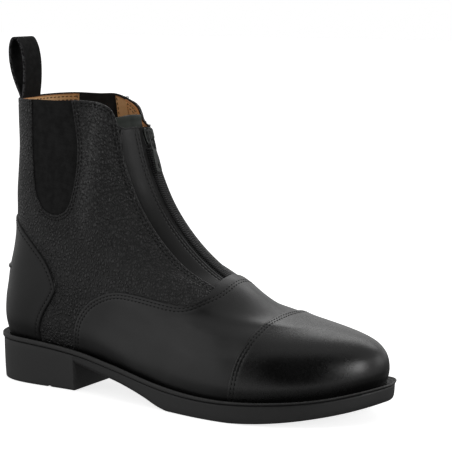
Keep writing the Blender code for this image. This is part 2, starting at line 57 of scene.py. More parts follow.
#    back       front        lateral half width      medial half width       how far it
#    x     z     x     z     heel waist ball  toe    heel waist ball  toe    follows the sole
LAST = np.array([
    (4.6,  29.0, 284.5, 19.9, 28.0, 36.0, 53.0, 31.5, 28.5, 26.5, 42.5, 31.5, 1.00),
    (2.0,  43.0, 286.5, 32.0, 31.5, 39.0, 55.5, 34.0, 32.0, 31.5, 46.0, 34.0, 0.90),
    (2.5,  56.0, 283.5, 42.5, 32.5, 39.0, 53.0, 32.0, 33.0, 33.0, 46.0, 32.0, 0.70),
    (4.0,  68.0, 273.0, 49.7, 32.5, 38.0, 46.5, 28.0, 33.0, 33.5, 42.5, 27.5, 0.50),
    (5.3,  78.5, 247.0, 55.5, 31.5, 36.5, 40.0, 23.0, 32.0, 34.0, 37.5, 21.5, 0.30),
    (8.6,  92.0, 217.0, 60.8, 30.0, 34.5, 38.0, 25.0, 30.5, 33.5, 36.0, 21.0, 0.15),
    (10.8, 105., 191.0, 74.7, 28.5, 33.0, 34.5, 20.5, 29.0, 32.5, 33.5, 18.5, 0.00),
    (11.5, 117.5, 170., 85.0, 27.5, 32.0, 31.5, 18.0, 27.5, 32.0, 31.5, 18.0, 0.00),
    (11.9, 132., 149.0, 102., 27.0, 32.0, 31.0, 18.0, 27.0, 32.0, 31.0, 18.0, 0.00),
    (14.0, 147.5, 131.5, 123.5, 27.0, 32.0, 31.0, 18.0, 27.0, 32.0, 31.0, 18.0, 0.00),
    (15.6, 164., 119.4, 148., 27.0, 32.5, 31.0, 18.0, 27.0, 32.5, 31.0, 18.0, 0.00),
    (15.9, 180., 113.0, 169.5, 27.3, 32.8, 31.3, 18.0, 27.3, 32.8, 31.3, 17.2, 0.00),
    (16.0, 197., 107.2, 199., 27.3, 33.0, 31.5, 18.0, 27.3, 33.0, 31.2, 16.5, 0.00),
])
RIM_LATERAL = np.array([32.5, 41.0, 58.0, 36.0])
RIM_MEDIAL = np.array([33.5, 30.0, 47.0, 36.0])
WELT_TOP = np.array([(0, 32.0), (35, 31.5), (72, 28.5), (110, 22.6), (150, 16.6),
                     (190, 14.2), (230, 15.6), (262, 18.6), (290, 24.2)])
UNDERSIDE = np.array([(72, 18.9), (90, 15.2), (115, 10.6), (137, 5.0), (148, 1.5), (156, 0.0),
                      (180, 0.0), (205, 0.0), (230, 1.7), (255, 4.9), (275, 8.6), (291, 12.7)])

# Face of the welt's lip along the sole, thinner towards the toe
LIP_FACE = np.array([(0, LIP), (140, LIP), (235, 1.5), (292, 1.5)])
HEEL_NOTCH, NOTCH_DEEP, NOTCH_HIGH = 51.5, 0.9, 4.0    # under the heel: where, depth, reach up

# Seams in side view, x and z, from the feather line up
COUNTER_SEAM = np.array([(43.5, 20.), (44.6, 38.), (49.0, 50.), (56.5, 61.), (59.8, 70.), (53.0, 83.5),
                         (43.0, 93.5), (30.5, 103.5), (15.0, 113.7), (-10., 120.)])
VAMP_SEAM = np.array([(69.5, 18.), (75.3, 44.5), (80.5, 54.5), (88.0, 62.2), (99.6, 68.5), (112., 71.6),
                      (128., 71.0), (154., 67.8), (166., 67.6), (172., 71.0), (175.3, 76.3), (175.2, 84.),
                      (180., 100.)])
# The row of stitches that leaves the vamp's edge and crosses below its tongue
TONGUE_ROW = np.array([(71.6, 18.), (77.2, 43.8), (82.2, 53.2), (89.2, 60.5), (100.2, 66.6), (112., 69.6),
                       (128., 69.0), (154., 65.8), (166., 66.4), (175., 70.3), (181.3, 75.0), (182.2, 81.0),
                       (184., 100.)])
CAP_SEAM = np.array([(201., 4.), (204., 15.), (206.5, 27.), (209., 39.), (211.8, 49.), (215., 60.),
                     (220., 78.)])
#                 z     rear edge, front edge of the elastic gore
GORE = np.array([(118.2, 54.5, 60.5), (121., 48.0, 66.5), (126., 44.0, 70.3), (134., 40.8, 73.4),
                 (150., 39.5, 77.0), (166., 39.4, 77.8), (184., 40.0, 75.4), (206., 40.5, 71.5)])
# The collar: how much of the height it reaches, round the boot
COLLAR = np.array([(0.0, 0.988), (0.15, 0.988), (0.25, 0.988), (0.32, 0.990), (0.353, 0.987), (0.370, 0.983),
                   (0.384, 0.976), (0.393, 0.966), (0.397, 0.955), (0.401, 0.945), (0.408, 0.941),
                   (0.44, 0.941), (0.56, 0.941), (0.636, 0.941), (0.643, 0.944), (0.648, 0.953),
                   (0.655, 0.963), (0.668, 0.972), (0.690, 0.980), (0.712, 0.988), (0.73, 0.992),
                   (0.78, 0.992), (0.85, 0.994), (0.92, 0.992), (1.0, 0.988)])
GUARD_TOP, GUARD_CROWN = 0.956, 0.010
ZIP_END, SLIDER_AT, CHAIN_TOP = 0.560, 0.922, 0.893
PIN_ALONG, PIN_OUT = 2.2, 2.2
LOOP_WIDTH, LOOP_THICK = 20.0, 1.7
LOOP = np.array([(195.2, 15.0, 18.6), (203., 11.4, 19.6), (211., 8.4, 20.0), (219., 6.7, 19.7),
                 (226., 6.4, 18.4), (231., 7.3, 16.4), (233.6, 8.8, 14.4)])
LOOP_TOP = (11.5, 235.0)

# Soft folds in the leather: from x, z to x, z in side view, how deep (minus is a ridge), how wide
FOLDS = np.array([
    (128., 63., 176., 39., -0.42, 8.0),
    (160., 62., 178., 46., 0.18, 9.0),
    (104., 47., 152., 26., 0.42, 8.5),
    (86., 50., 124., 22., -0.28, 8.0),
    (186., 60., 200., 24., -0.25, 7.0),
    (192., 66., 208., 40., 0.22, 5.5),
    (80., 128., 92., 104., -0.45, 7.0),
    (86., 194., 83., 134., -1.0, 7.0),
    (98., 128., 118., 92., 0.45, 6.0),
    (112., 120., 140., 84., -0.35, 5.0),
    (66., 104., 96., 84., 0.40, 5.0),
    (62., 92., 84., 76., -0.30, 4.0),
    (26., 128., 40., 108., 0.30, 4.0),
])


def curve(x, table):
    """A smooth curve through a table's rows: cubic pieces that take the rows' own slopes."""
    xs, ys = table[:, 0], table[:, 1]
    x = np.clip(x, xs[0], xs[-1])
    slope = np.gradient(ys, xs)
    i = np.clip(np.searchsorted(xs, x, side="right") - 1, 0, len(xs) - 2)
    step = xs[i + 1] - xs[i]
    t = (x - xs[i]) / step
    ends = (2*t**3 - 3*t**2 + 1) * ys[i] + (3*t**2 - 2*t**3) * ys[i + 1]
    return ends + step * ((t**3 - 2*t**2 + t) * slope[i] + (t**3 - t**2) * slope[i + 1])


def along(points, count):
    """Points spread along a smooth curve through the given ones, by their number in the list."""
    points = np.asarray(points, float)
    k = np.arange(len(points), dtype=float)
    t = np.linspace(0, len(points) - 1, count)
    return np.stack([curve(t, np.stack([k, c], 1)) for c in points.T], 1)


def welt_top(x):
    """Height of the welt's top along the sole."""
    return curve(x, WELT_TOP)


def half_width(xi, four):
    """Round-ended half width along a section: 2 sqrt(xi (1 - xi)) times the cubic through four stations."""
    ends = 2 * np.sqrt(STATIONS * (1 - STATIONS))
    cubic = (four / ends) @ np.linalg.inv(np.vander(STATIONS, 4)).T
    xi = np.clip(xi, 0, 1)
    body = ((cubic[..., 0] * xi + cubic[..., 1]) * xi + cubic[..., 2]) * xi + cubic[..., 3]
    return 2 * np.sqrt(xi * (1 - xi)) * body


def sections(v):
    """The last's table at height v: each column is a smooth curve through its rows."""
    rows = np.arange(len(LAST)) / (len(LAST) - 1)
    return np.stack([curve(v, np.stack([rows, c], 1)) for c in LAST.T], -1)


def side_view(row, xi):
    """x and z at the share xi along a section: a straight line from back to front, bent with the sole."""
    x = row[..., 0] + (row[..., 2] - row[..., 0]) * xi
    straight = (1 - xi) * welt_top(row[..., 0]) + xi * welt_top(row[..., 2])
    return x, row[..., 1] + (row[..., 3] - row[..., 1]) * xi + row[..., 12] * (welt_top(x) - straight)


def last(u, v):
    """The boot's outer form: xi = (1 - cos 2 pi u) / 2 along the section at v, half width to that side."""
    u, v = np.broadcast_arrays(np.asarray(u, float), np.asarray(v, float))
    row, turn = sections(v), 2 * np.pi * u
    xi = (1 - np.cos(turn)) / 2
    x, z = side_view(row, xi)
    y = np.where(np.sin(turn) >= 0, -half_width(xi, row[..., 4:8]), half_width(xi, row[..., 8:12]))
    return np.stack([x, y, z], -1)


def unit(vectors):
    """Vectors divided by their own lengths."""
    return vectors / np.linalg.norm(vectors, axis=-1, keepdims=True)


def ways(u, v):
    """The last's rates of change round it and up it, by small steps."""
    small = 1e-4
    up, down = np.minimum(v + small, 1), np.maximum(v - small, 0)
    round_it = (last(u + small, v) - last(u - small, v)) / (2 * small)
    return round_it, (last(u, up) - last(u, down)) / np.expand_dims(up - down, -1)


def outward(u, v):
    """Points of the last and their outward normals: the cross product of its ways round and up."""
    return last(u, v), unit(np.cross(*ways(u, v)))


def collar(u):
    """Share of the height that the collar reaches, with a rounded shoulder down to the zip."""
    return curve(u, COLLAR)


def rim(turn, inset):
    """The sole's outline in plan, set in from the rim."""
    xi = (1 - np.cos(turn)) / 2
    y = np.where(np.sin(turn) >= 0, -half_width(xi, RIM_LATERAL - inset), half_width(xi, RIM_MEDIAL - inset))
    return REAR + inset + (SOLE_LENGTH - 2 * inset) * xi, y


OUTLINE_Y = rim(np.linspace(0, 2 * np.pi, 721), 0.0)[1]
CENTRE = np.array([REAR + SOLE_LENGTH / 2, (OUTLINE_Y.min() + OUTLINE_Y.max()) / 2, 0.0])


def place(points):
    """From the boot's frame in millimetres to the row frame in metres."""
    return (np.asarray(points, float) - CENTRE) * MM


def find(x, z):
    """Where side-view points lie on the last: the nearest of a coarse net, then Newton's steps on (xi, v)."""
    shares = np.linspace(0, 1, 61)
    net_xi, net_v = (a.ravel() for a in np.meshgrid(shares, shares))
    net_x, net_z = side_view(sections(net_v), net_xi)
    near = ((x[:, None] - net_x)**2 + (z[:, None] - net_z)**2).argmin(1)
    xi, v = net_xi[near], np.clip(net_v[near], 0.001, 0.999)
    small, limit = 1e-4, 0.05
    for _ in range(15):
        x0, z0 = side_view(sections(v), xi)
        x1, z1 = side_view(sections(v), xi + small)
        x2, z2 = side_view(sections(v + small), xi)
        a, b, c, d = (x1 - x0) / small, (x2 - x0) / small, (z1 - z0) / small, (z2 - z0) / small
        over = a * d - b * c
        over = np.where(np.abs(over) < 1.0, 1.0, over)
        xi = xi + np.clip((d * (x - x0) - b * (z - z0)) / over, -limit, limit)
        v = np.clip(v + np.clip((a * (z - z0) - c * (x - x0)) / over, -limit, limit), 0.0, 0.9995)
    x0, z0 = side_view(sections(v), xi)
    return xi, v, np.hypot(x - x0, z - z0)


def lengths(points):
    """Distance along a line of points, from the first to each of them."""
    return np.concatenate([[0], np.cumsum(np.linalg.norm(np.diff(points, axis=0), axis=1))])


def even(path, pitch):
    """A (u, v) path with its points spread evenly along the last, about a pitch apart."""
    reach = lengths(last(*path.T))
    s = np.linspace(0, reach[-1], max(int(round(reach[-1] / pitch)) + 1, 2))
    return np.stack([np.interp(s, reach, c) for c in path.T], 1)


def seam(line, pitch=1.0, crossing=None):
    """A side-view line laid on the lateral side as a (u, v) path, and mirrored about `crossing` if given."""
    x, z = along(line, 1600).T
    xi, v, miss = find(x, z)
    keep = (miss < 0.05) & (xi > 0) & (xi < 1) & (v > 0)
    path = np.stack([np.arccos(1 - 2 * xi[keep]) / (2 * np.pi), v[keep]], 1)
    if crossing is not None:
        other = np.stack([2 * crossing - path[::-1, 0], path[::-1, 1]], 1)
        path = np.concatenate([path, other])
    return even(path, pitch)


def mirrored(path):
    """The same path on the medial side."""
    return np.stack([1 - path[:, 0], path[:, 1]], 1)


def shifted(path, distance):
    """A path moved sideways over the last, to its right: a step along the surface, worked back to (u, v)."""
    u, v = path.T
    point, normal = outward(u, v)
    right = unit(np.cross(np.gradient(point, axis=0), normal))
    round_it, up_it = ways(u, v)
    a, b, c = ((p * q).sum(-1) for p, q in ((round_it, round_it), (round_it, up_it), (up_it, up_it)))
    d, e = (distance * (right * q).sum(-1) for q in (round_it, up_it))
    over = a * c - b * b
    return np.stack([u + (c * d - b * e) / over, np.clip(v + (a * e - b * d) / over, 0, 1)], 1)


class Spot:
    """Places on the last: u, v, points, outward normals and how far aside of the zip they lie."""

    def __init__(self, u, v):
        self.u, self.v = np.asarray(u, float), np.asarray(v, float)
        self.point, self.normal = outward(self.u, self.v)
        self.side = np.abs(self.point[:, 1]) + np.where(self.point[:, 0] < BACK_HALF, FAR_OFF, 0.0)


def off_line(line, spot):
    """Distance over the leather from a side-view line, plus on its right: the nearest of its short straight
    pieces, stretched where the leather leans away from the side view."""
    x, z = spot.point[:, 0], spot.point[:, 2]
    best, gap_x, gap_z, side = np.full(x.shape, 1e12), np.ones_like(x), np.zeros_like(x), np.ones_like(x)
    for (ax, az), (bx, bz) in zip(line[:-1], line[1:]):
        dx, dz = bx - ax, bz - az
        t = np.clip(((x - ax) * dx + (z - az) * dz) / (dx * dx + dz * dz), 0, 1)
        gx, gz = x - ax - t * dx, z - az - t * dz
        square = gx * gx + gz * gz
        near = square < best
        best, gap_x, gap_z = (np.where(near, p, q) for p, q in ((square, best), (gx, gap_x), (gz, gap_z)))
        side = np.where(near, np.sign(gx * dz - gz * dx), side)
    far = np.sqrt(best)
    lean = (gap_x * spot.normal[:, 0] + gap_z * spot.normal[:, 2]) / np.maximum(far, 1e-9)
    return side * far / np.sqrt(np.clip(1 - lean * lean, 0.25, 1))


CAP_LINE, VAMP_LINE, COUNTER_LINE = along(CAP_SEAM, 60), along(VAMP_SEAM, 110), along(COUNTER_SEAM, 90)
TONGUE_LINE = along(TONGUE_ROW, 110)
GORE_ROWS = along(GORE, 40)
GORE_LINE = np.concatenate([GORE_ROWS[::-1, [1, 0]], GORE_ROWS[:, [2, 0]]])


def beside(line, way=1.0):
    """The level function of a side-view line: plus on its right, or on its left where way is minus."""
    return lambda spot: way * off_line(line, spot)


in_front_of_cap = beside(CAP_LINE)
in_front_of_vamp = beside(VAMP_LINE)
past_tongue_row = beside(TONGUE_LINE)
behind_counter = beside(COUNTER_LINE, -1.0)
outside_gore = beside(GORE_LINE)


def off_zip(lateral, medial=None):
    """Distance over the leather outward from a line beside the zip, a fixed distance from its middle."""
    def level(spot):
        edge = np.where(spot.point[:, 1] < 0, lateral, lateral if medial is None else medial)
        return (spot.side - edge) / np.sqrt(np.clip(1 - spot.normal[:, 1]**2, 0.2, 1))
    return level


def below_collar(spot):
    """Distance over the leather down from the collar: the height left, less where the collar slopes."""
    round_it, up_it = (np.linalg.norm(w, axis=-1) for w in ways(spot.u, spot.v))
    slope = (collar(spot.u + 0.001) - collar(spot.u - 0.001)) / 0.002 * up_it / round_it
    return (collar(spot.u) - spot.v) * up_it / np.sqrt(1 + slope**2)


def short_of(level, reach):
    """The level turned round, so that a panel runs this far under its neighbour."""
    return lambda spot: reach - level(spot)


def grid_triangles(rows, columns):
    """Two triangles for each cell of a grid of points."""
    i, j = np.meshgrid(np.arange(rows - 1), np.arange(columns - 1), indexing="ij")
    a, b, c, d = ((p * columns + q).ravel() for p, q in ((i, j), (i + 1, j), (i + 1, j + 1), (i, j + 1)))
    return np.concatenate([np.stack([a, b, c], 1), np.stack([a, c, d], 1)])


def grid_quads(rows, columns, close_rows=False, close_columns=False):
    """Four-sided faces over a grid of points, closed on itself where asked."""
    i, j = np.meshgrid(np.arange(rows if close_rows else rows - 1),
                       np.arange(columns if close_columns else columns - 1), indexing="ij")
    i2, j2 = (i + 1) % rows, (j + 1) % columns
    return np.stack([(p * columns + q).ravel() for p, q in ((i, j), (i2, j), (i2, j2), (i, j2))], 1)


def cut_sheet(data, triangles, column, at, both=False):
    """Cuts a sheet of triangles along the line where one of its columns reaches a value: each crossed edge
    gets a point at the share of its length where that happens. What lies below goes, unless both stay."""
    level = data[:, column] - at
    level = np.where(np.abs(level) < 1e-5, 1e-5, level)
    above = level > 0
    count = above[triangles].sum(1)
    kept = [triangles[count == 3]] + ([triangles[count == 0]] if both else [])
    turned = []
    for wanted in (1, 2):
        some = triangles[count == wanted]
        lone = above[some] if wanted == 1 else ~above[some]
        turned.append(np.take_along_axis(some, (lone.argmax(1)[:, None] + np.arange(3)) % 3, 1))
    one, two = turned
    edges = np.concatenate([one[:, [0, 1]], one[:, [0, 2]], two[:, [0, 1]], two[:, [0, 2]]])
    crossed, index = np.unique(np.sort(edges, 1), axis=0, return_inverse=True)
    a, b = crossed.T
    share = (level[a] / (level[a] - level[b]))[:, None]
    fresh = data[a] + share * (data[b] - data[a])
    fresh[:, column] = at
    index = index.ravel() + len(data)
    p, q, r, s = np.split(index, np.cumsum([len(one), len(one), len(two)]))
    kept += [np.stack(t, 1) for t in ((one[:, 0], p, q), (r, two[:, 1], two[:, 2]), (r, two[:, 2], s))]
    if both:
        kept += [np.stack(t, 1) for t in ((p, one[:, 1], one[:, 2]), (p, one[:, 2], q), (two[:, 0], r, s))]
    used, triangles = np.unique(np.concatenate(kept), return_inverse=True)
    return np.concatenate([data, fresh])[used], triangles.reshape(-1, 3)


def wall_between(outer, inner, triangles):
    """A closed wall: the outer sheet, the inner one turned round, and a strip along every open edge."""
    n = len(outer)
    edges = np.concatenate([triangles[:, [0, 1]], triangles[:, [1, 2]], triangles[:, [2, 0]]])
    open_edges = edges[~np.isin(edges[:, 0] * n + edges[:, 1], edges[:, 1] * n + edges[:, 0])]
    a, b = open_edges.T
    return (np.concatenate([outer, inner]), np.concatenate([triangles, triangles[:, ::-1] + n]),
            np.stack([b, a, a + n, b + n], 1))


def facing_out(points, triangles, quads):
    """The faces of closed bodies, all turned round if they enclose a minus volume: the sum of each triangle's
    volume with the origin."""
    triangles, quads = (np.asarray(f, np.int64).reshape(-1, n) for f, n in ((triangles, 3), (quads, 4)))
    a, b, c = points[np.concatenate([triangles, quads[:, [0, 1, 2]], quads[:, [0, 2, 3]]])].transpose(1, 0, 2)
    inside_out = (a * np.cross(b, c)).sum() < 0
    return (triangles[:, ::-1], quads[:, ::-1]) if inside_out else (triangles, quads)


def tube_faces(rings, steps):
    """Faces of a tube of rings whose two end points come after them: a fan at each end, quads between."""
    k, count = np.arange(steps), rings * steps
    after, top = (k + 1) % steps, count - steps
    fans = np.concatenate([np.stack([np.full(steps, count), k, after], 1),
                           np.stack([np.full(steps, count + 1), top + after, top + k], 1)])
    return fans, grid_quads(rings, steps, False, True)


def welded(points, quads):
    """Points that lie together made one, and the faces that this closes up made triangles or dropped."""
    _, first, index = np.unique(np.round(points, 4), axis=0, return_index=True, return_inverse=True)
    faces = index.ravel()[quads]
    same = faces == np.roll(faces, -1, 1)
    three = same.sum(1) == 1
    return points[first], faces[three][~same[three]].reshape(-1, 3), faces[same.sum(1) == 0]


def piece(name, points, triangles, quads, material, slot, body="boot", stands_for=(), values=None, run=None):
    """One object at the origin from points in the boot's frame; values are point attributes, run a UV map."""
    triangles, quads = facing_out(points, triangles, quads)
    corners = np.concatenate([triangles.ravel(), quads.ravel()])
    starts = np.concatenate([3 * np.arange(len(triangles)), 3 * len(triangles) + 4 * np.arange(len(quads))])
    mesh = bpy.data.meshes.new(name)
    mesh.vertices.add(len(points))
    mesh.vertices.foreach_set("co", place(points).astype(np.float32).ravel())
    mesh.loops.add(len(corners))
    mesh.loops.foreach_set("vertex_index", corners.astype(np.int32))
    mesh.polygons.add(len(starts))
    mesh.polygons.foreach_set("loop_start", starts.astype(np.int32))
    mesh.polygons.foreach_set("use_smooth", np.ones(len(starts), bool))
    mesh.update(calc_edges=True)
    for key, value in (values or {}).items():
        store = mesh.attributes.new(key, "FLOAT", "POINT")
        store.data.foreach_set("value", np.asarray(value, np.float32))
    if run is not None:
        layer = mesh.uv_layers.new(name="run")
        layer.data.foreach_set("uv", np.asarray(run, np.float32)[corners].ravel())
    mesh.materials.append(material)
    mesh.validate()
    mesh.set_sharp_from_angle(angle=SHARP_ANGLE)
    obj = bpy.data.objects.new(f"{name}_look", mesh)
    bpy.context.scene.collection.objects.link(obj)
    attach(obj, body)
    if stands_for:
        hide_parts(*stands_for)


def folds(spot):
    """The leather's soft troughs and ridges: at each line, depth times exp(-(distance / width) squared)."""
    x, z = spot.point[:, 0], spot.point[:, 2]
    total = np.zeros_like(x)
    for ax, az, bx, bz, depth, width in FOLDS:
        dx, dz = bx - ax, bz - az
        t = np.clip(((x - ax) * dx + (z - az) * dz) / (dx * dx + dz * dz), 0, 1)
        square = (x - ax - t * dx)**2 + (z - az - t * dz)**2
        total -= depth * np.exp(-square / width**2)
    return total


def rounded(distance, radius, drop):
    """A leather edge: a quarter circle that falls by `drop` over the last `radius` before the edge."""
    t = 1 - np.clip(distance / radius, 0, 1)
    return drop * (np.sqrt(1 - t * t) - 1)


def pulled(distance, rows, depth=0.17, width=0.5):
    """Dips that rows of stitches pull into the leather at set distances from its edge."""
    return -depth * sum(np.exp(-((distance - r) / width)**2) for r in rows)


EDGE_STEPS = (0.06, 0.2, 0.45, 0.9)
RAW_STEPS = (0.2, 0.5, 1.0)
ROWS = (2.1, 4.2)
ROW_STEPS = (1.5, 2.1, 2.7, 3.6, 4.2, 4.8)
# Rows of stitches, from the edge that they follow
TONGUE_ROWS, COUNTER_ROW, GORE_SEWN = (0.0, 2.1), 3.2, (1.6, 3.6)
COLLAR_SEWN, FACING_SEWN = (1.8, 3.6), (2.3, 4.6)
HUMP_X = 181.0    # where the vamp humps over the zip's lower end
# The painted highlight along the ridge in front of the gore: the ridge's place at one height and its lean,
# the highlight's width, and where it fades in
RIDGE_X, RIDGE_Z, RIDGE_LEAN, HIGHLIGHT_WIDE = 85.5, 150.0, 0.10, 5.5
HIGHLIGHT_FOOT, HIGHLIGHT_FADE = 95.0, 35.0
GORE_UNDER = 2.2    # how far the elastic runs under the quarter
INSIDE = PANEL + GAP + WALL    # depth of the lining's inner face
LINING_TOP, BINDING_TOP = 1.1, 1.3    # cut edges below the collar
GUARD_DEPTH, GUARD_BACK = 3.35, 8.5    # depth of the guard, and how much deeper its top stands
FACING_DEPTH, GORE_DEPTH, GORE_PULL = 0.45, 1.25, 0.45    # depths, and how far the elastic pulls in
GUARD_FREE, CROWN_HALF = 0.80, 23.0    # height where the guard comes free, half width of its crown
MM_PER_V_HIGH, MM_PER_V_LOW = 330.0, 190.0    # about how far v = 1 is, near the collar and near the zip's end


class Panel:
    """A sheet on the last: its edges' level functions and the surface they shape. surface(spot, *distances)
    gives how far each point stands out along the normal, and its wear value, which on the quarters also holds
    a painted highlight."""

    def __init__(self, levels, surface):
        self.levels, self.surface = levels, surface

    def at(self, u, v):
        """The spot at (u, v), how far out the panel stands there, and its wear value."""
        spot = Spot(u, v)
        return spot, self.surface(spot, *(level(spot) for level in self.levels))

    def cut(self, name, u_span, v_span, edges, under, material, slot, stands_for, to_collar=False,
            edge_wear=0.0, thick=1.0, whole=False):
        """A grid over (u, v), cut along each edge's line and split along rows beside it, then moved out along
        the normals and closed with an inner sheet at `under`, or `thick` below; whole joins its two ends."""
        u, v = np.meshgrid(np.linspace(*u_span), np.linspace(*v_span), indexing="ij")
        triangles = grid_triangles(*u.shape)
        u, v = u.ravel(), v.ravel()
        spot = Spot(u, v * collar(u) if to_collar else v)
        data = np.stack([spot.u, spot.v, *(level(spot) for level in self.levels)], 1)
        for column, at, steps in edges:
            data, triangles = cut_sheet(data, triangles, 2 + column, at)
            for step in steps:
                data, triangles = cut_sheet(data, triangles, 2 + column, at + step, both=True)
        if whole:
            places = np.round(np.stack([data[:, 0] % 1.0, data[:, 1]], 1), 7)
            _, first, index = np.unique(places, axis=0, return_index=True, return_inverse=True)
            data, triangles = data[first], index.ravel()[triangles]
        spot = Spot(data[:, 0], data[:, 1])
        # The wear value becomes the "wear" attribute; on the quarters it also holds the painted highlight.
        out, wear = self.surface(spot, *data[:, 2:].T)
        under = out - thick if under is None else under
        outer, inner = (spot.point + np.asarray(o).reshape(-1, 1) * spot.normal for o in (out, under))
        points, triangles, walls = wall_between(outer, inner, triangles)
        piece(name, points, triangles, walls, material, slot, "boot", stands_for,
              {"wear": np.concatenate([wear, edge_wear * wear])}, np.concatenate([data[:, :2]] * 2))


def near_edge(*distances):
    """Wear of the leather at its edges: 1 on an edge, falling away within a millimetre or so."""
    return np.max([np.exp(-np.abs(d) / WORN_REACH) for d in distances], 0)


# Shader groups and materials

class Net:
    """Short ways to add and join nodes in one tree."""

    def __init__(self, tree):
        self.tree = tree

    def add(self, kind, settings=None, **inputs):
        """A new node with its settings and its inputs, _ for a space."""
        node = self.tree.nodes.new(kind)
        for key, value in (settings or {}).items():
            setattr(node, key, value)
        for key, value in inputs.items():
            self.set(node, key.replace("_", " "), value)
        return node

    def set(self, node, socket, value):
        """Joins a socket to an input, or gives the input a plain value."""
        target = node.inputs[socket]
        if isinstance(value, bpy.types.NodeSocket):
            self.tree.links.new(value, target)
        else:
            target.default_value = value

    def fill(self, node, values, output=0):
        """Sets a node's first inputs in order and gives one of its outputs."""
        for i, value in enumerate(values):
            self.set(node, i, value)
        return node.outputs[output]

    def math(self, operation, *values, clamp=False):
        """A Math node's result."""
        return self.fill(self.add("ShaderNodeMath", {"operation": operation, "use_clamp": clamp}), values)

    def plus(self, a, b):
        """a plus b."""
        return self.math("ADD", a, b)

    def times(self, a, b, clamp=False):
        """a times b."""
        return self.math("MULTIPLY", a, b, clamp=clamp)

    def vector(self, operation, a, b, output="Vector"):
        """A Vector Math node's result."""
        return self.fill(self.add("ShaderNodeVectorMath", {"operation": operation}), (a, b), output)

    def split(self, vector):
        """A vector's three parts."""
        return self.add("ShaderNodeSeparateXYZ", Vector=vector).outputs

    def ramp(self, value, low, high, to_low=0.0, to_high=1.0):
        """A smooth step from to_low at low to to_high at high."""
        node = self.add("ShaderNodeMapRange", {"interpolation_type": "SMOOTHSTEP"})
        return self.fill(node, (value, low, high, to_low, to_high))

    def mix(self, share, a, b):
        """Colour a, turned to colour b by a share."""
        node = self.add("ShaderNodeMix", {"data_type": "RGBA"})
        for i, value in ((0, share), (6, a), (7, b)):
            self.set(node, i, value)
        return node.outputs[2]

    def here(self):
        """The place on the piece, in the row frame."""
        return self.add("ShaderNodeTexCoord").outputs["Object"]

    def run(self):
        """The two parts of the piece's run map, and a third that is 0."""
        return self.split(self.add("ShaderNodeUVMap", {"uv_map": "run"}).outputs[0])

    def wear_and_highlight(self):
        """The piece's own wear value, which on the quarters also holds a painted highlight."""
        return self.add("ShaderNodeAttribute", {"attribute_name": "wear"}).outputs["Fac"]

    def noise(self, vector, scale, detail=3.0, rough=0.5, output=0):
        """Noise at a scale: its value, or its colour as output 1."""
        node = self.add("ShaderNodeTexNoise", Vector=vector, Scale=scale, Detail=detail, Roughness=rough)
        return node.outputs[output]

    def off_cells(self, vector, scale):
        """Distance from the edges of Voronoi cells."""
        settings = {"feature": "DISTANCE_TO_EDGE"}
        return self.add("ShaderNodeTexVoronoi", settings, Vector=vector, Scale=scale).outputs["Distance"]

    def use(self, tree, **values):
        """The outputs of a shader group placed with its own values."""
        return self.add("ShaderNodeGroup", {"node_tree": tree}, **values).outputs


def group(name, inputs, outputs):
    """An empty shader group with named sockets: its net, what it is given and the node for its results."""
    tree = bpy.data.node_groups.new(name, "ShaderNodeTree")
    for label, value in inputs:
        socket = tree.interface.new_socket(label, in_out="INPUT", socket_type="NodeSocketFloat")
        socket.default_value = value
    for label in outputs:
        tree.interface.new_socket(label, in_out="OUTPUT", socket_type="NodeSocketFloat")
    return Net(tree), tree.nodes.new("NodeGroupInput").outputs, tree.nodes.new("NodeGroupOutput")


def closed(net, out, **results):
    """The finished group, its results joined to its outputs."""
    for label, value in results.items():
        net.set(out, label, value)
    return net.tree


def make_pebble():
    """Pebbled grain: cells of a warped Voronoi, round on top with fine cracks between them."""
    net, given, out = group("pebble grain", [("Cell mm", 1.3), ("Warp", 0.5)], ["Height", "Crack", "Tone"])
    here = net.here()
    middle = net.vector("SUBTRACT", net.noise(here, 420.0, 2.0, output=1), (0.5, 0.5, 0.5))
    small = net.add("ShaderNodeVectorMath", {"operation": "SCALE"}, Scale=net.times(given["Warp"], 0.0022))
    moved = net.vector("ADD", here, net.fill(small, (middle,)))
    longer = net.vector("MULTIPLY", moved, (1.0, 1.0, 0.72))
    far = net.off_cells(longer, net.math("DIVIDE", 1000.0, given["Cell mm"]))
    height = net.plus(net.ramp(far, 0.0, 0.42), net.times(net.noise(here, 2600.0, 2.0), 0.22))
    crack = net.ramp(far, 0.02, 0.30, 1.0, 0.0)
    return closed(net, out, Height=height, Crack=crack, Tone=net.noise(here, 60.0, 4.0))


def make_fine_grain():
    """Smooth leather: hair pores and a faint net of lines, with slow changes of polish."""
    net, given, out = group("fine grain", [("Scale", 1.0)], ["Height", "Polish"])
    here = net.here()
    lines = net.ramp(net.off_cells(here, net.times(given["Scale"], 1900.0)), 0.0, 0.25)
    pores = net.noise(here, net.times(given["Scale"], 3200.0), 2.0)
    polish = net.plus(net.times(net.noise(here, 38.0), 0.65), net.times(net.noise(here, 420.0), 0.35))
    return closed(net, out, Height=net.plus(lines, net.times(pores, 0.8)), Polish=polish)


def make_weave():
    """Woven cloth on the run map: threads one over the other, as the higher of two rows of rounded ridges."""
    net, given, out = group("weave", [("Across", 1.0), ("Along", 1.0), ("Rib", 0.5)], ["Height", "Tone"])
    places = zip(net.run(), (given["Across"], given["Along"]))
    turns = [net.times(net.times(place, count), 2 * np.pi) for place, count in places]
    swap = net.times(net.times(*(net.math("SINE", net.times(turn, 0.5)) for turn in turns)), 0.5)
    warp, weft = (net.times(net.math("COSINE", turn), 0.5) for turn in turns)
    lower = net.times(net.math("SUBTRACT", weft, swap), net.math("SUBTRACT", 1.0, given["Rib"]))
    ridges = net.math("MAXIMUM", net.plus(warp, swap), lower)
    height = net.math("MULTIPLY_ADD", ridges, 0.5, 0.5)
    return closed(net, out, Height=height, Tone=net.noise(net.here(), 240.0))


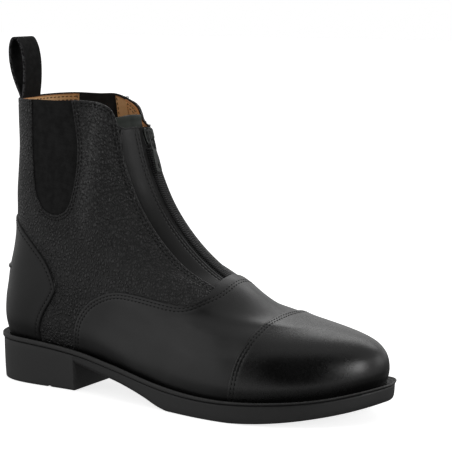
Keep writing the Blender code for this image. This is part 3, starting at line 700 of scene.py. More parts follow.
def make_wear():
    """Wear on edges, and on the quarters a painted highlight: the piece's own wear value, broken up by noise.
    """
    net, given, out = group("edge wear", [("Amount", 0.5)], ["Mask"])
    rough = net.ramp(net.noise(net.here(), 700.0), 0.35, 0.65)
    return closed(net, out, Mask=net.times(net.times(net.wear_and_highlight(), rough), given["Amount"], clamp=True))


def make_dust():
    """A trace of dust where the surface looks up, and in patches."""
    net, given, out = group("dust", [("Amount", 0.1)], ["Mask"])
    up = net.ramp(net.split(net.add("ShaderNodeNewGeometry").outputs["Normal"])[2], 0.1, 0.95)
    patch = net.ramp(net.noise(net.here(), 55.0, 5.0, 0.65), 0.4, 0.7)
    return closed(net, out, Mask=net.times(net.times(up, patch), given["Amount"], clamp=True))


PEBBLE, FINE, WEAVE, WEAR, DUST = make_pebble(), make_fine_grain(), make_weave(), make_wear(), make_dust()
SOFT = (0.3, 0.7)    # where a slow noise turns from one tone to the other


def material(name, roughness=0.5, specular=0.5, sheen=0.0):
    """A material with its constant values set on the shader itself."""
    made = bpy.data.materials.new(name)
    made.use_nodes = True
    shader = made.node_tree.nodes["Principled BSDF"]
    for key, value in (("Roughness", roughness), ("Specular IOR Level", specular), ("Sheen Weight", sheen)):
        shader.inputs[key].default_value = value
    return made, Net(made.node_tree), shader


def bump(net, shader, height, strength, distance_mm):
    """Tilts the normal by a height, times a depth in mm."""
    node = net.add("ShaderNodeBump", Strength=strength, Distance=distance_mm * MM, Height=height)
    net.set(shader, "Normal", node.outputs[0])


def rgb(*values):
    """A colour with full alpha."""
    return (*values, 1.0)


def grey(value):
    """A grey with full alpha."""
    return rgb(value, value, value)


PALE_DUST = rgb(0.20, 0.195, 0.19)


def layered(net, base, *layers):
    """A base colour with layers over it: each a group, or none for plain wear, its amount and its colour."""
    for tree, amount, colour in layers:
        mask = net.use(tree, Amount=amount)["Mask"] if tree else net.wear_and_highlight()
        base = net.mix(mask, base, colour)
    return base


def grained_leather():
    """Black leather with a pebbled grain: tops a little polished, cracks dark and dull."""
    made, net, shader = material("grained_leather")
    grain = net.use(PEBBLE, Cell_mm=1.9, Warp=0.7)
    base = net.mix(grain["Crack"], grey(0.015), grey(0.003))
    # The light wear colour shows edge wear, and on the quarters a painted highlight along the ridge in front
    # of the gore.
    net.set(shader, "Base Color", layered(net, base, (WEAR, 1.0, grey(0.065)), (DUST, 0.03, PALE_DUST)))
    rough = net.plus(net.ramp(grain["Tone"], *SOFT, 0.28, 0.35), net.times(grain["Crack"], 0.25))
    net.set(shader, "Roughness", rough)
    bump(net, shader, grain["Height"], 1.0, 0.55)
    return made


def fine_surface(name, scale, tones, roughness, relief, layers, **settings):
    """A material with the fine grain: two tones and a roughness that follow its polish, layers of wear and
    dust, and a bump of given strength and depth."""
    made, net, shader = material(name, **settings)
    grain = net.use(FINE, Scale=scale)
    base = net.mix(net.ramp(grain["Polish"], *SOFT), *tones)
    net.set(shader, "Base Color", layered(net, base, *layers))
    net.set(shader, "Roughness", net.ramp(grain["Polish"], *SOFT, *roughness))
    bump(net, shader, grain["Height"], *relief)
    return made


def smooth_leather(name="smooth_leather", gloss=0.33, specular=0.5):
    """Smooth black leather with a soft polish that changes slowly over it."""
    tone = 0.0045
    return fine_surface(name, 1.0, (grey(tone), grey(1.25 * tone)), (gloss - 0.05, gloss + 0.07),
                        (0.22, 0.07), [(WEAR, 0.25, grey(0.03)), (DUST, 0.02, PALE_DUST)], specular=specular)


def tan_lining():
    """Tan lining leather: a soft nap outside, its cut edge raw and orange brown."""
    return fine_surface("tan_lining", 0.8, (rgb(0.84, 0.48, 0.21), rgb(0.94, 0.60, 0.31)), (0.68, 0.82),
                        (0.35, 0.12), [(None, 1.0, rgb(0.50, 0.20, 0.055))], specular=0.3, sheen=0.15)


def guard_leather():
    """Dark grey-green leather of the guard behind the zip."""
    return fine_surface("guard_leather", 0.9, (rgb(0.013, 0.018, 0.014), rgb(0.021, 0.027, 0.022)),
                        (0.45, 0.58), (0.25, 0.1), [(WEAR, 0.5, rgb(0.012, 0.015, 0.015))], specular=0.2)


def rubber():
    """Matt black moulded rubber with a fine cast texture, dusty and scuffed at its edges."""
    layers = [(WEAR, 0.45, rgb(0.10, 0.10, 0.098)), (DUST, 0.05, rgb(0.22, 0.21, 0.20))]
    return fine_surface("sole_rubber", 0.55, (grey(0.022), grey(0.031)), (0.50, 0.64), (0.22, 0.10), layers,
                        specular=0.45)


def black_metal():
    """Black lacquered metal, scuffed to a greenish grey on its edges."""
    made = fine_surface("black_metal", 0.6, (rgb(0.020, 0.022, 0.020), rgb(0.034, 0.036, 0.034)),
                        (0.26, 0.40), (0.08, 0.05), [(WEAR, 1.0, rgb(0.20, 0.21, 0.20))])
    net = Net(made.node_tree)
    metallic = net.ramp(net.use(WEAR, Amount=1.0)["Mask"], 0.0, 1.0, 0.45, 0.9)
    net.set(made.node_tree.nodes["Principled BSDF"], "Metallic", metallic)
    return made


def teeth_plastic():
    """Black moulded teeth, polished on top by the slider."""
    return fine_surface("zip_teeth", 1.0, (grey(0.005), grey(0.010)), (0.40, 0.55), (0.1, 0.05),
                        [(WEAR, 0.8, grey(0.05))], specular=0.22)


def cloth(name, dark, light, across, along_it, rib, strength, depth_mm):
    """Black woven cloth: threads from the weave group, matt, with a faint fuzz."""
    made, net, shader = material(name, specular=0.15, sheen=0.03)
    weave = net.use(WEAVE, Across=across, Along=along_it, Rib=rib)
    base = net.mix(weave["Height"], grey(dark), grey(light))
    base = net.mix(net.ramp(weave["Tone"], 0.3, 0.75, 0.0, 0.35), base, grey(0.6 * dark))
    net.set(shader, "Base Color", layered(net, base, (WEAR, 0.9, rgb(0.11, 0.11, 0.115))))
    net.set(shader, "Roughness", net.ramp(weave["Tone"], *SOFT, 0.78, 0.92))
    bump(net, shader, weave["Height"], strength, depth_mm)
    return made


def thread(name, dark, light):
    """Sewing thread: a tight twist along each stitch."""
    made, net, shader = material(name, specular=0.15)
    run = net.run()
    twist = net.math("SINE", net.plus(net.times(run[0], 22.0), net.times(run[1], 2 * np.pi)))
    share = net.math("MULTIPLY_ADD", twist, 0.5, 0.5)
    net.set(shader, "Base Color", net.mix(share, dark, light))
    net.set(shader, "Roughness", net.ramp(share, 0.0, 1.0, 0.62, 0.50))
    bump(net, shader, share, 0.4, 0.06)
    return made


GRAINED, SMOOTH = grained_leather(), smooth_leather()
CAP_LEATHER = smooth_leather("cap_leather", gloss=0.25)
COUNTER_LEATHER = smooth_leather("counter_leather", specular=0.30)
FACING_LEATHER = smooth_leather("facing_leather", gloss=0.38, specular=0.30)
LINING, GUARD = tan_lining(), guard_leather()
ELASTIC = cloth("gore_elastic", 0.006, 0.028, 300.0, 112.0, 0.15, 0.8, 0.30)
# Threads across and along one unit of the run map
WEBBING_RUN, TAPE_RUN = (14.0, 90.0), (900.0, 220.0)
WEBBING = cloth("webbing", 0.002, 0.008, *WEBBING_RUN, 0.3, 0.6, 0.25)
TAPE = cloth("zip_tape", 0.006, 0.024, *TAPE_RUN, 0.3, 0.5, 0.12)
RUBBER, METAL, TEETH = rubber(), black_metal(), teeth_plastic()
BLACK_THREAD = thread("black_thread", grey(0.004), grey(0.016))
BROWN_THREAD = thread("brown_thread", rgb(0.15, 0.07, 0.025), rgb(0.28, 0.14, 0.06))


# Leather panels

def lapped(distance, low, rise, reach):
    """How far a lapped panel stands out: `low`, and `rise` more at its edge, easing over `reach`."""
    return low + rise * np.exp(-(distance / reach)**2)


def cap_surface(spot, seam_d):
    """Toe cap: proud of the vamp at its seam, easing down, with two stitched rows and a rounded edge."""
    out = lapped(seam_d, 0.6, 0.45, 9.0) + rounded(seam_d, 0.9, 0.95) + pulled(seam_d, ROWS)
    return out + 0.3 * folds(spot), near_edge(seam_d)


def vamp_surface(spot, seam_d, row_d, *under):
    """Vamp: lapped over the quarters at its seam, humped over the zip's end, soft folds on its sides."""
    hump = 0.9 * np.exp(-((spot.point[:, 0] - HUMP_X) / 9.0)**2 - (spot.side / 13.0)**2)
    out = lapped(seam_d, 0.15, 0.75, 10.0) + hump + rounded(seam_d, 0.9, 0.95) + pulled(row_d, TONGUE_ROWS)
    return out + folds(spot), near_edge(seam_d)


def counter_surface(spot, seam_d):
    """Heel counter: a thick edge over the quarters with one stitched row inside it."""
    out = lapped(seam_d, 0.4, 0.6, 7.0) + rounded(seam_d, 1.1, 1.25) + pulled(seam_d, (COUNTER_ROW,))
    return out + 0.5 * folds(spot), near_edge(seam_d)


def quarter_surface(spot, gore, facing, top, *under):
    """Quarter: rounded at the gore, the facing and the collar, with double rows along them. Its wear value
    holds the edge wear and a painted highlight, a lighter strip along the ridge in front of the gore."""
    edge = np.minimum(np.minimum(gore, facing), top)
    rows = pulled(gore, GORE_SEWN) + pulled(facing, ROWS) + pulled(top, COLLAR_SEWN, 0.12)
    swell = 0.35 * np.exp(-(facing / 8.0)**2)
    x, z = spot.point[:, 0], spot.point[:, 2]
    # Painted highlight: a lighter strip along the ridge in front of the gore, which goes out with the edge
    # wear in the wear value.
    off_ridge = x - RIDGE_X - RIDGE_LEAN * (z - RIDGE_Z)
    painted_highlight = np.exp(-(off_ridge / HIGHLIGHT_WIDE)**2) * np.clip((z - HIGHLIGHT_FOOT) / HIGHLIGHT_FADE, 0, 1)
    wear_and_highlight = np.maximum(0.3 * near_edge(gore, facing, top), painted_highlight)
    return swell + rounded(edge, 1.0, 0.95) + rows + folds(spot), wear_and_highlight


def facing_surface(spot, slot, top, *under):
    """Facing: a lower strip with a rounded edge along the zip, two stitched rows and tucks at its top."""
    edge = np.minimum(slot, top)
    tucks = 0.25 * np.cos(2 * np.pi * top / 3.4) * np.exp(-(top / 5.5)**2)
    out = -FACING_DEPTH + rounded(edge, 0.9, 0.5) + pulled(slot, FACING_SEWN, 0.28, 0.55) + tucks
    return out, near_edge(slot, top)


def gore_surface(spot, inside):
    """Elastic: pulled slightly in between its edges."""
    pull = 1 - np.exp(-np.clip(inside - GORE_UNDER, 0, 40) / 6.0)
    return -GORE_DEPTH - GORE_PULL * pull, np.zeros_like(inside)


def raw_edge(top, start):
    """Wear along a cut edge that starts this far below the collar."""
    return np.exp(-(np.clip(top - start, 0, 9) / 0.6)**2)


def lining_surface(spot, gore, slot, top):
    """Lining: its outer side is hidden under the panels, and its top edge is cut raw."""
    return -PANEL - 0.25 + rounded(top - LINING_TOP, 0.4, 0.3), raw_edge(top, LINING_TOP)


def binding_surface(spot, gore, top, outer):
    """The lining's sewn strip inside, over the gore's front edge."""
    return np.full_like(gore, -INSIDE - 0.05), raw_edge(top, BINDING_TOP)


def guard_surface(spot, edge, top, low):
    """Guard: a flap behind the zip that stands back towards its free top, and is folded over there."""
    share = np.clip((spot.v - GUARD_FREE) / (GUARD_TOP - GUARD_FREE), 0, 1)
    across = np.clip(1 - (spot.point[:, 1] / (GUARD_HALF + 3.0))**2, 0, 1)
    back_off = GUARD_BACK * across * share**2 * (3 - 2 * share)
    fold = 0.45 * np.exp(-((top - 1.6) / 1.7)**2)
    out = -GUARD_DEPTH - back_off + fold + rounded(np.minimum(edge, top), 0.7, 0.6)
    return out, np.exp(-(np.abs(top - 3.4) / 0.5)**2)


def beside_slot(spot):
    """Distance from the zip's slot, or enough to keep the leather below the slot's end."""
    return np.where(spot.v > ZIP_END, off_zip(ZIP_SLOT)(spot), 9.0)


def below_guard_top(spot):
    """Distance down from the guard's crowned top, in about millimetres."""
    crown = GUARD_TOP + GUARD_CROWN * (1 - (spot.side / CROWN_HALF)**2)
    return (crown - spot.v) * MM_PER_V_HIGH


def above_guard_foot(spot):
    """Distance up from the guard's foot below the zip's end, in about millimetres."""
    return (spot.v - ZIP_END + 0.03) * MM_PER_V_LOW


CAP = Panel([in_front_of_cap], cap_surface)
VAMP = Panel([in_front_of_vamp, past_tongue_row, short_of(in_front_of_cap, 7.0)], vamp_surface)
COUNTER = Panel([behind_counter], counter_surface)
QUARTER = Panel([outside_gore, off_zip(*FACING_EDGE), below_collar, short_of(in_front_of_vamp, 7.0),
                 short_of(behind_counter, 7.0)], quarter_surface)
FACING = Panel([off_zip(ZIP_SLOT), below_collar, short_of(off_zip(*FACING_EDGE), 4.0),
                short_of(in_front_of_vamp, 6.0)], facing_surface)
ELASTIC_PANEL = Panel([short_of(outside_gore, GORE_UNDER)], gore_surface)
WALL_PANEL = Panel([outside_gore, beside_slot, below_collar], lining_surface)
BINDING = Panel([outside_gore, below_collar, short_of(outside_gore, 4.0)], binding_surface)
GUARD_PANEL = Panel([short_of(off_zip(GUARD_HALF, GUARD_HALF + 2.0), 0.0), below_guard_top, above_guard_foot],
                    guard_surface)


def make_leather():
    """Every sewn panel, the elastic, the lining and the guard. Each edge is a level's number, where it is cut
    and the rows beside it."""
    CAP.cut("toe_cap", (0.285, 0.715, 200), (0.0, 0.47, 80), [(0, 0.0, EDGE_STEPS + ROW_STEPS)], -0.6,
            CAP_LEATHER, "smooth_leather", ["toe_cap"])
    VAMP.cut("vamp", (0.125, 0.875, 360), (0.0, 0.60, 100),
             [(2, 0.0, ()), (0, 0.0, EDGE_STEPS), (1, -9.0, (8.5, 9.0, 9.5, 10.5, 11.1, 11.7))], -0.95,
             SMOOTH, "smooth_leather", ["vamp"])
    COUNTER.cut("heel_counter", (-0.17, 0.17, 150), (0.0, 0.56, 80),
                [(0, 0.0, EDGE_STEPS + (2.6, COUNTER_ROW, 3.8))], -0.95,
                COUNTER_LEATHER, "smooth_leather", ["heel_counter"])
    WALL_PANEL.cut("lining", (0.0, 1.0, 320), (0.0, 1.0, 90),
                   [(0, 2.4, ()), (1, 2.2, ()), (2, LINING_TOP, RAW_STEPS)], -INSIDE,
                   LINING, "tan_lining", ["upper"], to_collar=True, edge_wear=1.0, whole=True)
    GUARD_PANEL.cut("zip_guard", (0.35, 0.66, 110), (0.50, 1.0, 90),
                    [(0, 0.0, (0.2, 0.7)), (1, 0.0, (0.1, 0.35, 0.7, 2.9, 3.4, 3.9)), (2, 0.0, ())], None,
                    GUARD, "guard_leather", ["zip_guard"])
    for side, flip in (("lateral", False), ("medial", True)):
        def span(low, high, count):
            """Low to high in u, or the same mirrored to the medial side."""
            return (1 - high, 1 - low, count) if flip else (low, high, count)
        QUARTER.cut(f"quarter_{side}", span(0.00002, 0.436, 220), (0.0, 1.0, 165),
                    [(3, 0.0, ()), (4, 0.0, ()), (0, 0.0, EDGE_STEPS + (1.6, 2.6, 3.6)),
                     (1, 0.0, EDGE_STEPS + ROW_STEPS), (2, 0.0, EDGE_STEPS)], -1.0,
                    GRAINED, "grained_leather", [f"quarter_{side}"], to_collar=True)
        FACING.cut(f"zip_facing_{side}", span(0.325, 0.4995, 130), (0.50, 1.0, 105),
                   [(2, 0.0, ()), (3, 0.0, ()), (0, 0.0, EDGE_STEPS + (1.7, 2.3, 2.9, 4.0, 4.6, 5.2)),
                    (1, 0.0, EDGE_STEPS)], -1.05,
                   FACING_LEATHER, "smooth_leather", [f"zip_facing_{side}"], to_collar=True)
        BINDING.cut(f"gore_binding_{side}", span(0.27, 0.37, 60), (0.60, 1.0, 90),
                    [(0, -6.5, ()), (2, 0.0, ()), (1, BINDING_TOP, RAW_STEPS)], None,
                    LINING, "tan_lining", [], to_collar=True, edge_wear=1.0, thick=0.7)
        ELASTIC_PANEL.cut(f"gore_{side}", span(0.12, 0.36, 110), (0.52, 1.0, 110), [(0, 0.0, ())], -2.85,
                          ELASTIC, "gore_elastic", [f"gore_{side}"], to_collar=True)


make_leather()


# Stitching

STITCH_PITCH, INSIDE_PITCH, STITCH_LEAN = 3.0, 3.2, 0.10


def circle(count, shift=0.0):
    """Angles at even steps once round."""
    return 2 * np.pi * (np.arange(count) + shift) / count


def bar_shape(places, girth, lift, turn, tall, ends):
    """A rounded bar: a ring at each place along it with its girth and lift, then the two end points; as
    points (along, aside, up), fans and quads."""
    aside = girth[:, None] * np.cos(turn)
    up_it = lift[:, None] + tall * girth[:, None] * np.sin(turn)
    rings = np.stack([np.broadcast_to(places[:, None], aside.shape), aside, up_it], -1).reshape(-1, 3)
    return np.concatenate([rings, ends]), *tube_faces(len(places), len(turn))


def copies(shape, fans, quads, places, frames):
    """A shape set at each place in its own frame, as points, triangles and quads."""
    points = places[:, None] + np.einsum("kc,ncd->nkd", shape, frames)
    steps = len(shape) * np.arange(len(places))[:, None, None]
    return points.reshape(-1, 3), (steps + fans).reshape(-1, 3), (steps + quads).reshape(-1, 4)


def stitch_shape(length, thick):
    """One stitch: a rounded bar that rises out of the leather and dips in at both ends, and its run map."""
    s = np.array([-0.8, -0.45, 0.0, 0.45, 0.8])
    girth = thick * np.array([0.62, 0.95, 1.0, 0.95, 0.62])
    lift = thick * np.array([-0.25, 0.25, 0.42, 0.25, -0.25])
    steps = 6
    ends = [(-length / 2, 0.0, -0.8 * thick), (length / 2, 0.0, -0.8 * thick)]
    run = np.stack([np.repeat(s, steps), np.tile(np.arange(steps) / steps, len(s))], 1)
    run = np.concatenate([run, [(-1.0, 0.0), (1.0, 0.0)]])
    return *bar_shape(s * length / 2, girth, lift, circle(steps), 0.8, ends), run


def sew(name, rows, material, slot, length=2.3, thick=0.36):
    """All the stitches of one piece: the stitch's shape set at each place of each row, along the row, across
    it and up the leather's normal, leaning slightly as a lockstitch does."""
    *shape, run = stitch_shape(length, thick)
    places, up_it = (np.concatenate(part) for part in zip(*rows))
    along_it = np.concatenate([unit(np.gradient(r[0], axis=0)) for r in rows])
    along_it = unit(along_it + STITCH_LEAN * unit(np.cross(up_it, along_it)))
    frames = np.stack([along_it, unit(np.cross(up_it, along_it)), up_it], 1)
    piece(name, *copies(*shape, places, frames), material, slot, run=np.tile(run, (len(places), 1)))


def row_on(panel, path):
    """Places for stitches along a (u, v) path, on the panel's own surface."""
    spot, (out, _) = panel.at(*even(path, STITCH_PITCH).T)
    return spot.point + out[:, None] * spot.normal, spot.normal


def row_inside(path, thick=0.0):
    """Places for stitches on the lining's inner face, or on a strip sewn over it."""
    spot = Spot(*even(path, INSIDE_PITCH).T)
    return spot.point - (INSIDE + thick) * spot.normal, -spot.normal


def beside_zip(edge, v_from, v_to, medial):
    """A path up one side at a fixed distance from the middle of the zip, found by halving in u."""
    count = 160
    v = np.linspace(v_from, v_to, count)
    low, high = np.full(count, 0.33), np.full(count, 0.5)
    for _ in range(40):
        middle = (low + high) / 2
        wide = np.abs(last(1 - middle if medial else middle, v)[:, 1]) > edge
        low, high = np.where(wide, middle, low), np.where(wide, high, middle)
    return np.stack([1 - low if medial else low, v], 1)


def upto_collar(path, short):
    """The part of a path that stays a share of the height short of the collar."""
    return path[path[:, 1] < collar(path[:, 0]) - short]


def at_collar(first, end, down):
    """A path along the collar, a distance down from it."""
    u = np.linspace(first, end, 240)
    return shifted(np.stack([u, collar(u)], 1), down)


def make_stitching():
    """Double rows at the seams, one row in the counter, brown rows in the lining."""
    cap = seam(CAP_SEAM, crossing=0.5)
    tongue = seam(TONGUE_ROW, crossing=0.5)
    counter = seam(COUNTER_SEAM, crossing=0.0)
    rows = [row_on(CAP, shifted(cap, d)) for d in ROWS]
    rows += [row_on(VAMP, shifted(tongue, d)) for d in TONGUE_ROWS]
    rows += [row_on(COUNTER, shifted(counter, -COUNTER_ROW))]
    sew("stitching_smooth", rows, BLACK_THREAD, "smooth_leather")

    gore = upto_collar(seam(GORE_LINE, pitch=0.5), 0.006)
    bottom = gore[:, 1].argmin() - 16
    rear, fore = gore[:bottom], gore[gore[:, 0] > 0.275]
    quarter_rows, facing_rows, inside = [], [], []
    for medial in (False, True):
        turn, way = (mirrored, 1.0) if medial else (lambda path: path, -1.0)
        facing = upto_collar(beside_zip(FACING_EDGE[medial], 0.50, 0.99, medial), 0.002)
        slot = upto_collar(beside_zip(ZIP_SLOT, ZIP_END - 0.01, 0.99, medial), 0.012)
        collar_span = (0.674, 0.702) if medial else (0.318, 0.392)
        quarter_rows += [row_on(QUARTER, turn(shifted(gore, d)[bottom:])) for d in GORE_SEWN]
        quarter_rows += [row_on(QUARTER, shifted(facing, way * d)) for d in ROWS]
        quarter_rows += [row_on(QUARTER, at_collar(*collar_span, d)) for d in COLLAR_SEWN]
        facing_rows += [row_on(FACING, shifted(slot, way * d)) for d in FACING_SEWN]
        inside.append(row_inside(turn(shifted(rear, 4.0))))
        inside.append(row_inside(turn(shifted(fore, -4.9)), 0.75))
    sew("stitching_quarters", quarter_rows, BLACK_THREAD, "grained_leather")
    sew("stitching_facings", facing_rows, BLACK_THREAD, "smooth_leather", 2.1, 0.33)
    for first, end in ((0.02, 0.150), (0.312, 0.398), (0.642, 0.688), (0.850, 0.98)):
        inside += [row_inside(at_collar(first, end, down)) for down in (2.9, 5.3)]
    sew("stitching_lining", inside, BROWN_THREAD, "tan_lining", 2.4, 0.40)


make_stitching()


# Sole

LEDGE_V, LEDGE_OUT = 0.03, 0.1    # where the welt meets the upper


def make_welt():
    """The lip round the sole's top: a profile with a shallow gutter, a bead and a rounded lip, carried round
    the rim and closed under the lip; its inner edge meets the upper just above the feather line."""
    count = 520
    turn = circle(count)
    #      inset  below the welt's top
    top = [(4.6, 1.35), (3.6, 1.35), (3.0, 1.1), (2.6, 0.75), (2.3, 0.65), (2.0, 0.75), (1.75, 0.7),
           (1.35, 0.2), (1.0, 0.02), (0.7, 0.0), (0.4, 0.06), (0.18, 0.2), (0.05, 0.4), (0.0, 0.6)]
    #        inset  above the lip's lower edge
    under = [(0.0, 0.85), (0.06, 0.5), (0.25, 0.2), (0.55, 0.05), (0.9, 0.0), (2.6, 0.0)]
    ring = []
    for inset, down in top:
        x, y = rim(turn, inset)
        ring.append(np.stack([x, y, welt_top(x) - down], 1))
    for inset, above in under:
        x, y = rim(turn, inset)
        ring.append(np.stack([x, y, welt_top(x) - curve(x, LIP_FACE) + above], 1))
    x, y = rim(turn, 2.8)
    ring += [np.stack([x, y, welt_top(x) - LIP], 1), None]
    ledge, normal = outward(turn / (2 * np.pi), np.full(count, LEDGE_V))
    ledge = ledge + LEDGE_OUT * normal
    for k, down in ((0, top[0][1]), (-1, LIP)):
        ring[k] = np.stack([ledge[:, 0], ledge[:, 1], welt_top(ledge[:, 0]) - down], 1)
    wear = np.zeros(len(ring))
    wear[:len(top)] = np.exp(-((np.array(top)[:, 0] - 0.3) / 0.3)**2)
    points = np.stack(ring, 1)
    piece("welt", points.reshape(-1, 3), [], grid_quads(count, len(ring), True, True), RUBBER, "sole_rubber",
          stands_for=["welt"], values={"wear": np.tile(wear, count)})


TREAD_PITCH, TREAD_DEEP, TREAD_MARGIN, TREAD_FADE = 8.0, 1.2, 6.0, 1.5


def tread(x, y, edge):
    """Height of the fine tread's grooves: bars across the heel, and chevrons under the forefoot, with sloping
    sides, and none within 6 mm of the edge."""
    heel = x < BREAST_X
    phase = np.where(heel, x / TREAD_PITCH, (x + 0.35 * np.abs(y)) / TREAD_PITCH)
    bar = np.cos(2 * np.pi * phase)
    groove = np.clip((bar - 0.45) / 0.3, 0, 1)
    inside = 1.0
    for room in (edge, np.abs(x - BREAST_X)):
        inside = inside * np.clip((room - TREAD_MARGIN) / TREAD_FADE, 0, 1)
    bearing = np.where(heel, 1.0, np.clip((x - 150.0) / 6.0, 0, 1))
    return TREAD_DEEP * groove * inside * bearing


def make_outsole():
    """The moulded sole: sections along it, each a loop from the top edge down one side, across the tread and
    up the other side. Its sides lean in slightly, and its lower edge is a quarter circle."""
    xi = (1 - np.cos(np.linspace(0, np.pi, 420))) / 2
    breast = (BREAST_X - REAR) / SOLE_LENGTH
    xi = xi[np.abs(xi - breast) > 0.004]
    step_x = np.array([-1.0, -0.55, -0.2, 0.0, 0.15, 0.35, 0.7, 1.1])
    step_z = np.array([0.0, 0.12, 0.5, 1.2, 18.4, 19.1, 19.35, 19.3])
    extra = breast + step_x / SOLE_LENGTH
    xi = np.concatenate([xi, extra])
    stand = np.where(xi <= breast, 0.0, np.maximum(curve(REAR + SOLE_LENGTH * xi, UNDERSIDE), 0.0))
    stand[-len(extra):] = step_z
    order = np.argsort(xi)
    xi, stand = xi[order], stand[order]
    #       inset, share of the height up from the underside, height above that
    side = [(3.4, 1.0, 0.0), (2.4, 1.0, 0.0), (1.15, 1.0, -0.35), (0.9, 1.0, -0.9), (0.92, 0.85, 0.0),
            (1.0, 0.7, 0.0), (1.1, 0.5, 0.0), (1.25, 0.33, 0.0), (1.4, 0.18, 0.35), (1.6, 0.06, 1.0)]
    corner = np.linspace(0, np.pi / 2, 6)[1:]
    low_inset, radius = 1.65, 1.3
    side += [(low_inset + radius * (1 - np.cos(c)), 0.0, radius * (1 - np.sin(c))) for c in corner]
    lateral_turn = np.arccos(1 - 2 * xi)
    loops = {}
    for name, turn in (("lateral", lateral_turn), ("medial", 2 * np.pi - lateral_turn)):
        column = []
        for inset, share, above in side:
            x, y = rim(turn, inset)
            top = welt_top(x) - GAP - (LIP if inset == side[0][0] else curve(x, LIP_FACE))
            low = np.minimum(stand, top - 2.0)
            column.append(np.stack([x, y, low + share * (top - low) + above], 1))
        loops[name] = np.stack(column, 1)
    across = np.linspace(0, 1, 62)[1:-1]
    first, other = loops["lateral"][:, -1], loops["medial"][:, -1]
    under = first[:, None] + across[None, :, None] * (other - first)[:, None]
    edge = np.minimum(across, 1 - across)[None, :] * np.linalg.norm(other - first, axis=1)[:, None]
    under[..., 2] = np.minimum(stand, first[:, 2])[:, None] + tread(under[..., 0], under[..., 1], edge)
    points = np.concatenate([loops["lateral"], under, loops["medial"][:, ::-1]], 1)
    notch = np.exp(-(points[..., 0] - HEEL_NOTCH)**2) * np.clip(1 - points[..., 2] / NOTCH_HIGH, 0, 1)
    points[..., 2] += NOTCH_DEEP * notch
    points, triangles, quads = welded(points.reshape(-1, 3), grid_quads(*points.shape[:2], False, True))
    above = points[:, 2] - np.interp(points[:, 0], REAR + SOLE_LENGTH * xi, stand)
    scuffed = 0.35 * np.exp(-np.clip(above, 0, 9) / 0.8)
    piece("outsole", points, triangles, quads, RUBBER, "sole_rubber", stands_for=["outsole"],
          values={"wear": scuffed})


make_welt()
make_outsole()


# Zip

def front_line(v, out):
    """Points on the zip's middle line, with the ways along it and out of it."""
    point, normal = outward(np.full_like(v, 0.5), v)
    way = unit(np.gradient(point, axis=0))
    return point + out * normal, way, unit(np.cross(way, np.array([0.0, -1.0, 0.0])))


def even_front(v_from, v_to, pitch):
    """Heights at even steps along the zip's middle line."""
    path = even(np.stack([np.full(400, 0.5), np.linspace(v_from, v_to, 400)], 1), pitch)
    return path[:, 1]


TOOTH_PITCH, TOOTH_DEPTH = 1.45, 0.75
TAPE_TOP, TAPE_DEPTH = 0.940, 1.75


def tooth_shape():
    """One tooth of the coil: five rings of eight across the zip, higher in the middle, and its polish."""
    steps = 8
    places = np.array([-4.3, -3.8, -0.4, 0.5, 0.8])
    girth = np.array([0.35, 0.62, 0.66, 0.55, 0.25])
    lift = np.array([-0.25, 0.0, 0.12, 0.05, -0.1])
    ends = [(-4.4, 0.0, -0.25), (0.9, 0.0, -0.1)]
    polish = np.concatenate([np.repeat(np.exp(-((places + 1.8) / 1.8)**2), steps), [0, 0]])
    return *bar_shape(places, girth, lift, circle(steps, 0.5), 1.15, ends), polish


def make_chain():
    """The closed coil: teeth from both sides by turns along the zip's middle line."""
    *shape, polish = tooth_shape()
    v = even_front(ZIP_END - 0.012, CHAIN_TOP + 0.004, TOOTH_PITCH)
    places, frames = [], []
    for sign, shift in ((1.0, 0.0), (-1.0, 0.5)):
        here = np.interp(np.arange(len(v) - 1) + shift, np.arange(len(v)), v)
        at, way, out = front_line(here, -TOOTH_DEPTH)
        across = np.broadcast_to(np.array([0.0, sign, 0.0]), at.shape)
        places.append(at)
        frames.append(np.stack([across, way * sign, out], 1))
    places, frames = np.concatenate(places), np.concatenate(frames)
    piece("zip_chain", *copies(*shape, places, frames), TEETH, "zip_teeth",
          stands_for=["zip_chain"], values={"wear": 0.35 * np.tile(polish, len(places))})


def make_tapes():
    """Woven tape on each side of the coil, thicker along the sewn cord that holds the teeth."""
    at, _, out = front_line(np.linspace(ZIP_END - 0.02, TAPE_TOP, 150), -TAPE_DEPTH)
    reach = lengths(at)
    y = np.array([0.15, 0.3, 4.3, 4.5, 4.8, 5.1, 5.3, 6.6, 6.9, 6.9, 6.6, 0.3])
    z = np.array([0.2, 0.5, 0.5, 0.75, 0.9, 0.75, 0.5, 0.45, 0.3, 0.0, -0.1, -0.1])
    across, along_it = 2.2 / TAPE_RUN[0], 1.6 / TAPE_RUN[1]
    run = np.stack(np.broadcast_arrays(y[None, :] * across, reach[:, None] * along_it), -1)
    for side, sign in (("lateral", -1.0), ("medial", 1.0)):
        points = at[:, None] + z[None, :, None] * out[:, None]
        points[..., 1] += sign * y
        piece(f"zip_tape_{side}", *capped(points), TAPE, "zip_tape", stands_for=[f"zip_tape_{side}"],
              run=np.concatenate([run.reshape(-1, 2), run[[0, -1], 0]]))


def slider_frame():
    """The slider's middle on the front line, its way up along the zip and its way out."""
    middle = last(0.5, SLIDER_AT)
    up = unit(last(0.5, SLIDER_AT + 0.02) - last(0.5, SLIDER_AT - 0.10))
    return middle, up, np.array([up[2], 0.0, -up[0]])


def pillow(outline, heights, shares):
    """A closed cushion-shaped body: rings that are shares of an outline about its middle, at heights, with an
    end point at each end; returns points as (across, along, out) and faces."""
    middle = outline.mean(0)
    rings = [np.concatenate([middle + s * (outline - middle), np.full((len(outline), 1), h)], 1)
             for h, s in zip(heights, shares)]
    points = np.concatenate(rings + [[[*middle, heights[0]], [*middle, heights[-1]]]])
    return points, *tube_faces(len(rings), len(outline))


